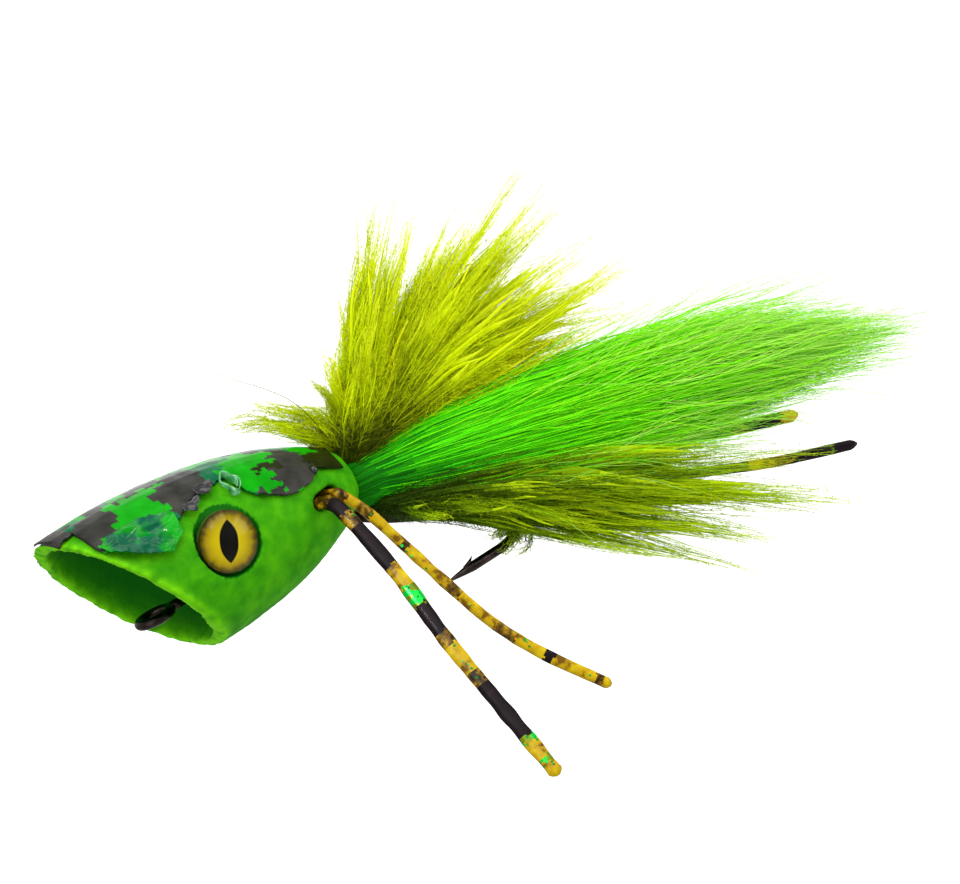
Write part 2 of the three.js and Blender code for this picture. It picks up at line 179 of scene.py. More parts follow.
# Layers from the core out: strands, share of the radius from and to, seed, middle tone. The middle tone
# rises from the core out, so the inner strands are darker: painted shade inside the bundle.
TAIL_LAYERS = (
    (1500, 0.0, 0.75, 5, 1.6), (1500, 0.6, 0.92, 6, 2.0),
    (1500, 0.8, 1.0, 7, 2.2), (900, 0.9, 1.05, 8, 2.6),
)


def rgb(red, green, blue):
    """A display colour, 0 to 255, as a linear RGBA colour."""
    channels = [c / 255 for c in (red, green, blue)]
    linear = [c / 12.92 if c <= 0.04045 else ((c + 0.055) / 1.055) ** 2.4 for c in channels]
    return (*linear, 1.0)


def shade(colour, factor):
    """The colour made darker or lighter by a factor."""
    return (*[min(1.0, c * factor) for c in colour[:3]], 1.0)


# ---------------------------------------------------------------- materials


def new_material(name, colour, roughness, **sockets):
    """A Principled material with values on its own sockets; returns (material, nodes, links, shader)."""
    material = bpy.data.materials.new(name)
    material.use_nodes = True
    material.diffuse_color = colour
    tree = material.node_tree
    shader = tree.nodes["Principled BSDF"]
    shader.inputs["Base Color"].default_value = colour
    shader.inputs["Roughness"].default_value = roughness
    for socket, value in sockets.items():
        shader.inputs[socket.replace("_", " ")].default_value = value
    return material, tree.nodes, tree.links, shader


def noise_node(nodes, links, scale, detail=3.0, stretch=(1, 1, 1)):
    """A noise texture in the object's own coordinates, with scale in features per metre."""
    place = nodes.new("ShaderNodeTexCoord")
    mapping = nodes.new("ShaderNodeMapping")
    mapping.inputs["Scale"].default_value = stretch
    texture = nodes.new("ShaderNodeTexNoise")
    texture.inputs["Scale"].default_value = scale
    texture.inputs["Detail"].default_value = detail
    links.new(place.outputs["Object"], mapping.inputs["Vector"])
    links.new(mapping.outputs["Vector"], texture.inputs["Vector"])
    return texture


def ramp_node(nodes, links, source, stops):
    """A colour ramp over a source socket, from (position, colour) stops."""
    ramp = nodes.new("ShaderNodeValToRGB")
    while len(ramp.color_ramp.elements) < len(stops):
        ramp.color_ramp.elements.new(1.0)
    for element, (position, colour) in zip(ramp.color_ramp.elements, stops):
        element.position = position
        element.color = colour
    links.new(source, ramp.inputs["Fac"])
    return ramp


def add_bump(nodes, links, shader, height, strength, distance):
    """Bump from a height socket, with distance in mm."""
    bump = nodes.new("ShaderNodeBump")
    bump.inputs["Strength"].default_value = strength
    bump.inputs["Distance"].default_value = distance * MM
    links.new(height, bump.inputs["Height"])
    links.new(bump.outputs["Normal"], shader.inputs["Normal"])


def attribute_node(nodes, name):
    """Reads a number that the mesh carries on its points."""
    reader = nodes.new("ShaderNodeAttribute")
    reader.attribute_name = name
    return reader.outputs["Fac"]


def mix_colours(nodes, links, factor, **colours):
    """Mixes A and B by a factor socket; each is a socket or a fixed colour."""
    mix = nodes.new("ShaderNodeMix")
    mix.data_type = "RGBA"
    links.new(factor, mix.inputs["Factor"])
    for name, colour in colours.items():
        if isinstance(colour, tuple):
            mix.inputs[name].default_value = colour
        else:
            links.new(colour, mix.inputs[name])
    return mix.outputs["Result"]


def vary_roughness(nodes, links, shader, texture, low, high):
    """Roughness that follows a texture between two values."""
    spread = nodes.new("ShaderNodeMapRange")
    spread.inputs["To Min"].default_value = low
    spread.inputs["To Max"].default_value = high
    links.new(texture.outputs["Fac"], spread.inputs["Value"])
    links.new(spread.outputs["Result"], shader.inputs["Roughness"])


def mottled_material(name, stops, scale, roughness, bump, **sockets):
    """Noise-mottled colour, roughness and bump; stops are (position, colour)."""
    middle = stops[len(stops) // 2][1]
    sockets.setdefault("Specular_IOR_Level", 0.25)
    material, nodes, links, shader = new_material(name, middle, sum(roughness) / 2, **sockets)
    texture = noise_node(nodes, links, scale, 4.0)
    ramp = ramp_node(nodes, links, texture.outputs["Fac"], stops)
    links.new(ramp.outputs["Color"], shader.inputs["Base Color"])
    vary_roughness(nodes, links, shader, texture, *roughness)
    add_bump(nodes, links, shader, texture.outputs["Fac"], bump, 0.1)
    return material


def fibre_material(name, colour, gloss):
    """A fibre's finish: one tone of many, uneven gloss and fine bump along the fibre."""
    material, nodes, links, shader = new_material(
        name, colour, 0.5, Specular_IOR_Level=gloss, Sheen_Weight=0.35, Sheen_Tint=colour)
    texture = noise_node(nodes, links, 1800.0, 2.0, (0.3, 1.0, 1.0))
    vary_roughness(nodes, links, shader, texture, 0.38, 0.66)
    add_bump(nodes, links, shader, texture.outputs["Fac"], 0.3, 0.02)
    return material


def foam_material():
    """Green foam: fine mottling, painted shade in the cup and sockets, and a painted highlight along the
    mouth's lips.
    """
    material, nodes, links, shader = new_material(
        "foam_skin", rgb(66, 170, 2), 0.62, Specular_IOR_Level=0.06)
    coarse = noise_node(nodes, links, 520.0, 6.0)
    fine = noise_node(nodes, links, 2600.0, 3.0)
    mottle = ramp_node(nodes, links, coarse.outputs["Fac"], (
        (0.3, rgb(44, 138, 2)), (0.5, rgb(62, 160, 2)), (0.7, rgb(82, 178, 4))))
    colour = mottle.outputs["Color"]
    # The first tint is painted shade in the cup and eye sockets; the second is a painted highlight along
    # the mouth's lips.
    for attribute, tint in (("painted_shade", rgb(8, 96, 2)), ("rim", rgb(116, 214, 12))):
        colour = mix_colours(nodes, links, attribute_node(nodes, attribute), A=colour, B=tint)
    links.new(colour, shader.inputs["Base Color"])
    vary_roughness(nodes, links, shader, fine, 0.5, 0.8)
    add_bump(nodes, links, shader, fine.outputs["Fac"], 0.55, 0.09)
    return material


def iris_material():
    """Gold iris with a dark rim and a black slit, from the disc's attributes."""
    material, nodes, links, shader = new_material(
        "iris_gold", rgb(220, 172, 12), 0.4, Specular_IOR_Level=0.04)
    gold = ramp_node(nodes, links, attribute_node(nodes, "ring"), (
        (0.0, rgb(226, 210, 16)), (0.56, rgb(200, 180, 0)), (0.78, rgb(166, 144, 0)),
        (0.9, rgb(100, 84, 0)), (1.0, rgb(40, 46, 0))))
    edge = ramp_node(nodes, links, attribute_node(nodes, "slit"), (
        (0.47, (0, 0, 0, 1)), (0.53, (1, 1, 1, 1))))
    colour = mix_colours(nodes, links, edge.outputs["Color"], A=rgb(4, 3, 2), B=gold.outputs["Color"])
    links.new(colour, shader.inputs["Base Color"])
    grain = noise_node(nodes, links, 1500.0)
    vary_roughness(nodes, links, shader, grain, 0.22, 0.4)
    return material


def lens_material():
    """Clear dome: see-through, with a glossy skin."""
    material = bpy.data.materials.new("lens_clear")
    material.use_nodes = True
    nodes, links = material.node_tree.nodes, material.node_tree.links
    nodes.remove(nodes["Principled BSDF"])
    clear = nodes.new("ShaderNodeBsdfTransparent")
    clear.inputs["Color"].default_value = (0.99, 0.98, 0.93, 1.0)
    gloss = nodes.new("ShaderNodeBsdfGlossy")
    gloss.inputs["Roughness"].default_value = 0.05
    facing = nodes.new("ShaderNodeLayerWeight")
    facing.inputs["Blend"].default_value = 0.22
    share = nodes.new("ShaderNodeMapRange")
    share.inputs["To Min"].default_value = 0.006
    share.inputs["To Max"].default_value = 0.12
    links.new(facing.outputs["Facing"], share.inputs["Value"])
    mix = nodes.new("ShaderNodeMixShader")
    links.new(share.outputs["Result"], mix.inputs["Fac"])
    links.new(clear.outputs["BSDF"], mix.inputs[1])
    links.new(gloss.outputs["BSDF"], mix.inputs[2])
    links.new(mix.outputs["Shader"], nodes["Material Output"].inputs["Surface"])
    return material


def speckled_material(name, ground, specks, scale, metallic, roughness):
    """Ground colour with bright cells, as glitter moulded into silicone."""
    material, nodes, links, shader = new_material(name, ground, roughness, Metallic=metallic)
    shader.inputs["Coat Weight"].default_value = 0.05
    shader.inputs["Specular IOR Level"].default_value = 0.14
    place = nodes.new("ShaderNodeTexCoord")
    cells = nodes.new("ShaderNodeTexVoronoi")
    cells.inputs["Scale"].default_value = scale
    links.new(place.outputs["Object"], cells.inputs["Vector"])
    split = nodes.new("ShaderNodeSeparateColor")
    links.new(cells.outputs["Color"], split.inputs["Color"])
    ramp = ramp_node(nodes, links, split.outputs["Red"], (
        (0.0, ground), (0.62, shade(ground, 1.5)), (0.66, specks), (1.0, shade(specks, 1.4))))
    links.new(ramp.outputs["Color"], shader.inputs["Base Color"])
    add_bump(nodes, links, shader, split.outputs["Green"], 0.4, 0.04)
    return material


# ---------------------------------------------------------------- mesh tools


def add_piece(name, points, faces, materials, face_materials=None, smooth=True):
    """A mesh object from points in mm, faces, and a material index for each face."""
    mesh = bpy.data.meshes.new(name)
    mesh.from_pydata((np.asarray(points, float) * MM).tolist(), [], faces)
    for material in materials:
        mesh.materials.append(material)
    if face_materials is not None:
        mesh.polygons.foreach_set("material_index", np.asarray(face_materials, np.int32))
    mesh.polygons.foreach_set("use_smooth", np.full(len(mesh.polygons), smooth))
    mesh.update()
    piece = bpy.data.objects.new(name, mesh)
    bpy.context.scene.collection.objects.link(piece)
    return piece


def set_attribute(piece, name, values):
    """A number on each point of a piece, for its material to read."""
    attribute = piece.data.attributes.new(name, "FLOAT", "POINT")
    attribute.data.foreach_set("value", np.asarray(values, np.float32))


def unit(vectors):
    """Vectors scaled to length one along the last axis."""
    return vectors / np.maximum(np.linalg.norm(vectors, axis=-1, keepdims=True), 1e-9)


def smooth_curve(points, count):
    """Points spaced evenly along a Catmull-Rom curve through the given points."""
    p = np.asarray(points, float)
    p = np.vstack([2 * p[0] - p[1], p, 2 * p[-1] - p[-2]])
    dense = []
    for a, b, c, d in zip(p, p[1:], p[2:], p[3:]):
        for t in np.linspace(0, 1, 24, endpoint=False):
            dense.append(0.5 * (2 * b + (c - a) * t + (2 * a - 5 * b + 4 * c - d) * t * t
                                + (3 * b - a - 3 * c + d) * t ** 3))
    dense.append(p[-2])
    dense = np.array(dense)
    along = np.concatenate([[0], np.cumsum(np.linalg.norm(np.diff(dense, axis=0), axis=1))])
    wanted = np.linspace(0, along[-1], count)
    return np.stack([np.interp(wanted, along, dense[:, k]) for k in range(3)], 1)


def sweep(path, half_width, half_height, sides, side_hint, power=2.0, closed=False):
    """A tube along a path; half sizes may vary along it. Returns points, faces and each face's ring."""
    path = np.asarray(path, float)
    count = len(path)
    half_width = np.broadcast_to(half_width, count)
    half_height = np.broadcast_to(half_height, count)
    if closed:
        tangent = unit(np.roll(path, -1, 0) - np.roll(path, 1, 0))
    else:
        tangent = unit(np.gradient(path, axis=0))
    hint = np.asarray(side_hint, float)
    across = unit(hint - tangent * (tangent @ hint)[:, None])
    up = np.cross(tangent, across)
    angle = np.linspace(0, 2 * math.pi, sides, endpoint=False)
    c, s = np.cos(angle), np.sin(angle)
    c = np.sign(c) * np.abs(c) ** (2 / power)
    s = np.sign(s) * np.abs(s) ** (2 / power)
    points = (path[:, None] + across[:, None] * (half_width[:, None] * c)[..., None]
              + up[:, None] * (half_height[:, None] * s)[..., None]).reshape(-1, 3)
    faces, rings = [], []
    for i in range(count if closed else count - 1):
        j = (i + 1) % count
        for k in range(sides):
            m = (k + 1) % sides
            faces.append((i * sides + k, i * sides + m, j * sides + m, j * sides + k))
            rings.append(i)
    if not closed:
        faces.append(tuple(range(sides))[::-1])
        faces.append(tuple((count - 1) * sides + k for k in range(sides)))
        rings += [0, count - 2]
    return points, faces, np.array(rings)


TRIANGLE = np.arange(3) * 2 * math.pi / 3  # the corners of a fibre's section


def across_and_up(direction):
    """Two directions square to each direction and to each other."""
    hint = np.where(np.abs(direction[..., 1:2]) < 0.8, (0.0, 1.0, 0.0), (0.0, 0.0, 1.0))
    across = unit(np.cross(direction, hint))
    return across, np.cross(direction, across)


def bowed(root, middle, tip, s):
    """Points at shares s of the way from root to tip, pulled towards a middle point."""
    from_root, from_middle, from_tip = (1 - s) ** 2, 2 * s * (1 - s), s ** 2
    return from_root[:, None] * root + from_middle[:, None] * middle + from_tip[:, None] * tip


def fibres(paths, radii, zones):
    """Closed three-sided fibres. paths is (fibre, step, 3), radii and zones (fibre, step).
    Returns points, faces, and each face's fibre and zone."""
    count, steps = paths.shape[:2]
    tangent = unit(np.gradient(paths, axis=1))
    across, up = across_and_up(tangent)
    ring = across[:, :, None] * np.cos(TRIANGLE)[:, None] + up[:, :, None] * np.sin(TRIANGLE)[:, None]
    points = (paths[:, :, None] + ring * radii[:, :, None, None]).reshape(-1, 3)
    first = (np.arange(count) * steps * 3)[:, None, None]
    step = (np.arange(steps - 1) * 3)[None, :, None]
    k = np.arange(3)[None, None, :]
    m = (k + 1) % 3
    sides = np.stack(np.broadcast_arrays(
        first + step + k, first + step + m, first + step + 3 + m, first + step + 3 + k), -1)
    fibre = np.broadcast_to(np.arange(count)[:, None, None], sides.shape[:3]).reshape(-1)
    zone = np.broadcast_to(zones[:, :-1, None], sides.shape[:3]).reshape(-1)
    root = first[:, :, 0] + np.array([2, 1, 0])
    tip = first[:, :, 0] + (steps - 1) * 3 + np.array([0, 1, 2])
    faces = sides.reshape(-1, 4).tolist() + root.tolist() + tip.tolist()
    owner = np.concatenate([fibre, np.arange(count), np.arange(count)])
    place = np.concatenate([zone, zones[:, 0], zones[:, -1]])
    return points, faces, owner, place


def spikes(roots, tips, radius):
    """Closed four-faced spikes from roots to tips, for fine barbules."""
    across, up = across_and_up(unit(tips - roots))
    base = roots[:, None] + radius * (across[:, None] * np.cos(TRIANGLE)[:, None]
                                      + up[:, None] * np.sin(TRIANGLE)[:, None])
    points = np.concatenate([base, tips[:, None]], 1).reshape(-1, 3)
    pattern = np.array([(2, 1, 0), (0, 1, 3), (1, 2, 3), (2, 0, 3)])
    faces = ((np.arange(len(roots)) * 4)[:, None, None] + pattern).reshape(-1, 3)
    return points, faces


def zones_along(rng, t, count, zones, jitter):
    """The colour zone of each step of each fibre, from root to tip, with uneven borders."""
    start = t[None, :] * zones + rng.normal(0, jitter, (count, 1))
    return np.clip(np.floor(start), 0, zones - 1).astype(int)


def wander(rng, count, steps, size, reach):
    """Smooth random sideways offsets along each fibre, growing from nothing at the root."""
    t = np.linspace(0, 1, steps)
    phase = rng.uniform(0, 2 * math.pi, (count, 1, 3))
    turns = rng.uniform(0.5, reach, (count, 1, 3))
    wave = np.sin(phase + turns * t[None, :, None] * 2 * math.pi) - np.sin(phase)
    return wave * size * (t ** 1.3)[None, :, None]


# ---------------------------------------------------------------- head


def head_centre(x):
    """The height of the head's middle at x."""
    return float(np.interp(x, HEAD_CENTRE_X, HEAD_CENTRE_Z))


head_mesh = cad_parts["foam_body"].data
head_tree = BVHTree.FromPolygons(
    [v.co.copy() for v in head_mesh.vertices], [tuple(p.vertices) for p in head_mesh.polygons])


def head_point(x, degrees, lift):
    """A point over the foam at x, so many degrees from the top towards the left side, lifted in mm."""
    a = math.radians(degrees)
    out = Vector((0.0, LEFT * math.sin(a), math.cos(a)))
    start = Vector((x, 0.0, head_centre(x))) * MM + out * 20 * MM
    hit = head_tree.ray_cast(start, -out)[0]
    if hit is None:
        hit = Vector((x, 0.0, head_centre(x))) * MM + out * 8.4 * MM
    return np.array(hit) / MM + np.array(out) * lift


def soften_mesh(piece):
    """Remeshes a piece finely and rounds its edges; returns the new mesh."""
    remesh = piece.modifiers.new("remesh", "REMESH")
    remesh.mode = "VOXEL"
    remesh.voxel_size = FOAM_VOXEL * MM
    soften = piece.modifiers.new("soften", "SMOOTH")
    soften.factor = 0.5
    soften.iterations = 4
    shaped = bpy.data.meshes.new_from_object(
        piece.evaluated_get(bpy.context.evaluated_depsgraph_get()))
    piece.modifiers.clear()
    piece.data = shaped
    return shaped


def foam_bumps(co, lip, in_cup):
    """Relief of the foam's skin in mm: pits all over, frayed lips, and strokes in the cup."""
    bumps = np.zeros(len(co))
    for i, p in enumerate(co):
        broad = noise.noise(Vector(p * 0.33))
        pits = noise.noise(Vector(p * 1.7 + 11))
        nibs = noise.noise(Vector(p * 3.4 + 37))
        bumps[i] = 0.08 * broad + 0.03 * pits + 0.022 * nibs
        if lip[i] > 0.05:
            fray = noise.noise(Vector((p[0] * 0.8, p[1] * 1.0, p[2] * 0.8 + 5)))
            bumps[i] += lip[i] * (0.12 * fray + 0.03 * nibs)
        if in_cup[i] > 0.1:
            strokes = noise.noise(Vector((p[0] * 0.4, p[1] * 1.1, p[2] * 1.1 + 3)))
            bumps[i] += 0.09 * in_cup[i] * strokes
    return bumps


def socket_shade(co, from_axis):
    """One on the foam inside the eye sockets, where shade is painted, and zero elsewhere."""
    shade_at = np.zeros(len(co))
    for node in ("eye_disc_left", "eye_disc_right"):
        low, high = [np.array(v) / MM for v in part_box(node)]
        middle = (low + high) / 2
        near = np.hypot(co[:, 0] - middle[0], co[:, 2] - middle[2])
        same_side = co[:, 1] * middle[1] > 0
        sunk = np.abs(co[:, 1]) < np.abs(middle[1]) + 0.35
        inside = same_side * sunk * (near < SOCKET_SHADE_RADIUS) * (from_axis > 5)
        shade_at = np.maximum(shade_at, inside)
    return shade_at


def make_foam():
    """The foam head: the CAD body's shape with a soft, pitted skin and frayed lips."""
    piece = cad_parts["foam_body"].copy()
    piece.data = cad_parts["foam_body"].data.copy()
    piece.name = "foam_head"
    piece.parent = None
    for key in list(piece.keys()):
        del piece[key]
    bpy.context.scene.collection.objects.link(piece)
    shaped = soften_mesh(piece)
    count = len(shaped.vertices)
    co = np.zeros(count * 3)
    shaped.vertices.foreach_get("co", co)
    co = co.reshape(-1, 3) / MM
    normal = np.zeros(count * 3, np.float32)
    shaped.vertices.foreach_get("normal", normal)
    normal = normal.reshape(-1, 3)
    inward = np.array(MOUTH_INWARD)
    behind_lip = (co - np.array(MOUTH_CENTRE)) @ inward
    from_axis = np.hypot(co[:, 1], co[:, 2] - np.interp(co[:, 0], HEAD_CENTRE_X, HEAD_CENTRE_Z))
    facing = -(normal @ inward)
    in_cup = np.clip((facing - 0.1) * 3, 0, 1) * (behind_lip < 6.5) * (behind_lip > 0.25)
    aside = co - np.array(MOUTH_CENTRE) - behind_lip[:, None] * inward
    outward = np.sum(normal * unit(aside), axis=1)
    in_cup = in_cup * (from_axis < 8.3) * np.clip((0.35 - outward) * 4, 0, 1)
    lip = np.exp(-(behind_lip / 0.6) ** 2) * (from_axis > 5.0)
    co = co + normal * foam_bumps(co, lip, in_cup)[:, None]
    shaped.vertices.foreach_set("co", (co * MM).ravel())
    shaped.polygons.foreach_set("use_smooth", np.ones(len(shaped.polygons), bool))
    shaped.materials.clear()
    shaped.materials.append(foam_material())
    shaped.update()
    # Where shade is painted: deeper into the cup, and inside the eye sockets.
    painted_shade = np.maximum(in_cup * np.clip(0.5 + behind_lip / 6, 0, 1), socket_shade(co, from_axis))
    # Where a highlight is painted: along the mouth's lips, made uneven by noise.
    lip_highlight_noise = np.array([noise.noise(Vector(p * 1.1)) for p in co])
    set_attribute(piece, "painted_shade", np.clip(painted_shade, 0, 1))
    set_attribute(piece, "rim", np.clip(lip * (0.9 + 1.2 * lip_highlight_noise), 0, 1))
    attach(piece, "head")
    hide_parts("foam_body")


def two_skins(name, rows, lifts, materials, camo, wrinkle):
    """A thin closed sheet over the head. rows is a list of columns of (x, degrees); lifts are the
    underside and top side; camo gives a face's material and wrinkle an extra lift in mm."""
    columns, steps = len(rows), len(rows[0])
    top, under = [], []
    for i, column in enumerate(rows):
        for j, (x, degrees) in enumerate(column):
            extra = wrinkle(x, degrees, i / (columns - 1), j / (steps - 1))
            base = head_point(x, degrees, lifts[0] + extra)
            out = unit(base - np.array((x, 0.0, head_centre(x))))
            under.append(base)
            top.append(base + out * (lifts[1] - lifts[0]))
    points = np.array(top + under)
    total = columns * steps
    faces, slots = [], []
    for i in range(columns - 1):
        for j in range(steps - 1):
            a, b = i * steps + j, (i + 1) * steps + j
            x = (rows[i][j][0] + rows[i + 1][j][0]) / 2
            degrees = (rows[i][j][1] + rows[i + 1][j + 1][1]) / 2
            slot = camo(x, degrees)
            faces.append((a, b, b + 1, a + 1))
            faces.append((total + a, total + a + 1, total + b + 1, total + b))
            slots += [slot, slot]
    border = [(i, 0) for i in range(columns)] + [(columns - 1, j) for j in range(1, steps)]
    border += [(i, steps - 1) for i in range(columns - 2, -1, -1)]
    border += [(0, j) for j in range(steps - 2, 0, -1)]
    for (i, j), (k, m) in zip(border, border[1:] + border[:1]):
        a, b = i * steps + j, k * steps + m
        faces.append((b, a, total + a, total + b))
        slots.append(camo(*rows[i][j]))
    return add_piece(name, points, faces, materials, slots)


def camo_colour(x, degrees):
    """The camouflage colour at a place on the film: measured blocks on the left, seeded ones elsewhere."""
    down = math.radians(degrees) * HEAD_SCALE
    step = CAMO_CELL / 2
    small = Vector((math.floor(x / step), math.floor(down / step), 0.0))
    x_near = (small.x + 0.5) * step + 1.3 * noise.noise(small * 0.41)
    down_near = (small.y + 0.5) * step + 1.3 * noise.noise(small * 0.41 + Vector((9, 4, 2)))
    for colour, x0, x1, down0, down1 in CAMO_BLOCKS:
        if x0 <= x_near < x1 and down0 <= down_near < down1:
            return colour
    cell = Vector((math.floor(x / CAMO_CELL), math.floor(down / CAMO_CELL), 0.0))
    value = noise.noise(cell * 0.31 + Vector((3.1, 7.7, 0.2))) + 0.35 * noise.noise(cell * 0.83)
    if value > 0.12:
        return CHARCOAL
    if value > -0.02:
        return TEAL
    return BRIGHT if value > -0.34 else OLIVE


def film_materials():
    """Printed film in the camouflage's four colours."""
    pairs = (
        ("film_charcoal", rgb(36, 36, 33), rgb(66, 65, 60)),
        ("film_bright", rgb(0, 134, 0), rgb(6, 166, 0)),
        ("film_teal", rgb(0, 84, 48), rgb(2, 122, 74)),
        ("film_olive", rgb(16, 24, 2), rgb(40, 48, 8)),
    )
    return [mottled_material(name, ((0.3, dark), (0.7, light)), 420.0, (0.3, 0.46), 0.12,
                             Specular_IOR_Level=0.06, Coat_Weight=0.05, Coat_Roughness=0.12)
            for name, dark, light in pairs]


def make_film():
    """The film over the head's back."""
    materials = film_materials()
    edge_x, edge_degrees = zip(*FILM_EDGE)
    xs = np.arange(edge_x[0], edge_x[-1] + 0.01, FILM_STEP)
    rows = []
    for x in xs:
        ragged = 2.2 * noise.noise(Vector((x * 1.9, 0, 4))) + 1.2 * noise.noise(Vector((x * 5.1, 2, 0)))
        near = float(np.interp(x, edge_x, edge_degrees)) + ragged
        ragged = 3.0 * noise.noise(Vector((x * 1.7, 9, 4)))
        far = -float(np.interp(x, edge_x, edge_degrees)) + ragged
        rows.append([(x, a) for a in np.linspace(far, near, 96)])

    def wrinkle(x, degrees, i, j):
        place = Vector((x * 0.5, degrees * 0.07, 1.0))
        folds = 0.05 * noise.noise(place) + 0.012 * noise.noise(place * 3.1)
        edge = min(j, 1 - j)
        curl = max(0.0, 1 - edge / 0.05) * max(0.0, noise.noise(Vector((x * 0.8, j * 2, 6))))
        return 0.05 + folds + 0.45 * curl

    film = two_skins("back_camo_film", rows, FILM_LIFT, materials, camo_colour, wrinkle)
    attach(film, "head")
    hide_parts("back_film")


def crumple(size):
    """The lift of crumpled film at a place, for folds of a given size in mm."""
    def lift(x, degrees, i, j):
        p = Vector((x * 0.42, degrees * 0.13, 3.0))
        ridge = 1 - abs(noise.noise(p)) * 2.4
        fine = 1 - abs(noise.noise(p * 2.1 + Vector((4, 4, 0)))) * 2
        return size * (0.6 + 0.8 * ridge + 0.25 * fine)
    return lift


def black_foil():
    """Thin black foil, for the tags and the glue bead."""
    return mottled_material("film_black_foil", (
        (0.35, rgb(8, 10, 8)), (0.6, rgb(26, 28, 26)), (0.85, rgb(70, 74, 70))),
        700.0, (0.16, 0.3), 0.2, Coat_Weight=0.6)


def make_tags(black):
    """The crumpled flake and the two black tags that stand off the film."""
    foil = mottled_material("film_crumpled", (
        (0.3, rgb(0, 62, 46)), (0.44, rgb(0, 98, 62)), (0.52, rgb(0, 146, 14)), (0.64, rgb(10, 170, 20)),
        (0.78, rgb(70, 180, 100))), 300.0, (0.14, 0.3), 0.12, Specular_IOR_Level=0.1,
        Coat_Weight=0.16, Coat_Roughness=0.05)
    tags = (
        ("film_flake", FLAKE_UPPER, FLAKE_LOWER, 0.34, foil, 64, 52),
        ("film_tag_front", ((5.0, 45), (6.0, 44), (7.2, 43)), ((5.0, 49), (6.0, 53), (7.2, 45)),
         0.3, black, 20, 18),
        ("film_tag_rear", ((7.2, 37), (9.4, 35)), ((7.2, 43), (8.3, 45), (9.4, 40)),
         0.3, black, 22, 18),
    )
    for name, upper, lower, size, material, columns, steps in tags:
        strip = []
        for x in np.linspace(upper[0][0], upper[-1][0], columns):
            high = np.interp(x, *zip(*upper)) + 1.3 * noise.noise(Vector((x * 2.3, 0, 0)))
            low = np.interp(x, *zip(*lower)) + 1.6 * noise.noise(Vector((x * 2.7, 5, 0)))
            strip.append([(x, a) for a in np.linspace(high, max(low, high + 0.8), steps)])
        piece = two_skins(name, strip, (0.42, 0.5), [material], lambda x, a: 0, crumple(size))
        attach(piece, "head")


def make_curl():
    """A clear strip of film that stands up in a loop."""
    pale = mottled_material("film_clear_curl", (
        (0.3, rgb(30, 130, 50)), (0.55, rgb(96, 190, 120)), (0.75, rgb(200, 236, 210))),
        1400.0, (0.08, 0.2), 0.3, Coat_Weight=1.0, Coat_Roughness=0.03)
    x0, a0 = CURL_PLACE
    loop = []
    for t in np.linspace(0, 1, 60):
        turn = -0.6 + t * 2 * math.pi * 1.25
        size = 1.15 - 0.35 * t
        x = x0 + 0.72 * size * math.cos(turn)
        a = a0 + math.degrees(1.25 * size * math.sin(turn) / HEAD_SCALE)
        loop.append(head_point(x, a, 0.75 + 0.25 * math.sin(3 * turn)))
    outward = head_point(x0, a0, 1) - head_point(x0, a0, 0)
    width = 0.34 + 0.12 * np.sin(np.linspace(0, 9, 60))
    points, faces, _ = sweep(loop, width, 0.09, 10, outward + np.array((0.5, 0, 0.4)))
    curl = add_piece("film_curl", points, faces, [pale])
    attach(curl, "head")


def make_bead(black):
    """A small dark bead of glue at the film's rear."""
    centre = head_point(*BEAD_PLACE, 0.35)
    path = [centre + np.array((0, 0, z)) for z in np.linspace(-0.42, 0.42, 12)]
    size = 0.42 * np.sqrt(np.clip(1 - np.linspace(-0.98, 0.98, 12) ** 2, 0, 1))
    points, faces, _ = sweep(path, size, size, 16, (1, 0, 0))
    bead = add_piece("glue_bead", points, faces, [black])
    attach(bead, "head")


# ---------------------------------------------------------------- eyes


def revolve_eye(name, side, profile, materials, shape=None):
    """A round piece about the eye's axis from (radius, outward) pairs; shape adds relief by (r, turn)."""
    node = "eye_disc_" + ("left" if side == LEFT else "right")
    low, high = [np.array(v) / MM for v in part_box(node)]
    centre = (low + high) / 2
    centre[1] = 0.0
    turn = np.linspace(0, 2 * math.pi, EYE_SEGMENTS, endpoint=False)
    points = []
    for radius, out in profile:
        for a in turn:
            extra = shape(radius, a) if shape else 0.0
            points.append(centre + np.array(
                (radius * math.cos(a), side * (out + extra), radius * math.sin(a))))
    faces = []
    n = EYE_SEGMENTS
    for i in range(len(profile) - 1):
        for k in range(n):
            quad = (i * n + k, (i + 1) * n + k, (i + 1) * n + (k + 1) % n, i * n + (k + 1) % n)
            faces.append(quad if side == RIGHT else quad[::-1])
    caps = (tuple(range(n)), tuple((len(profile) - 1) * n + k for k in range(n))[::-1])
    faces += [cap if side == RIGHT else cap[::-1] for cap in caps]
    return add_piece(name, points, faces, materials)


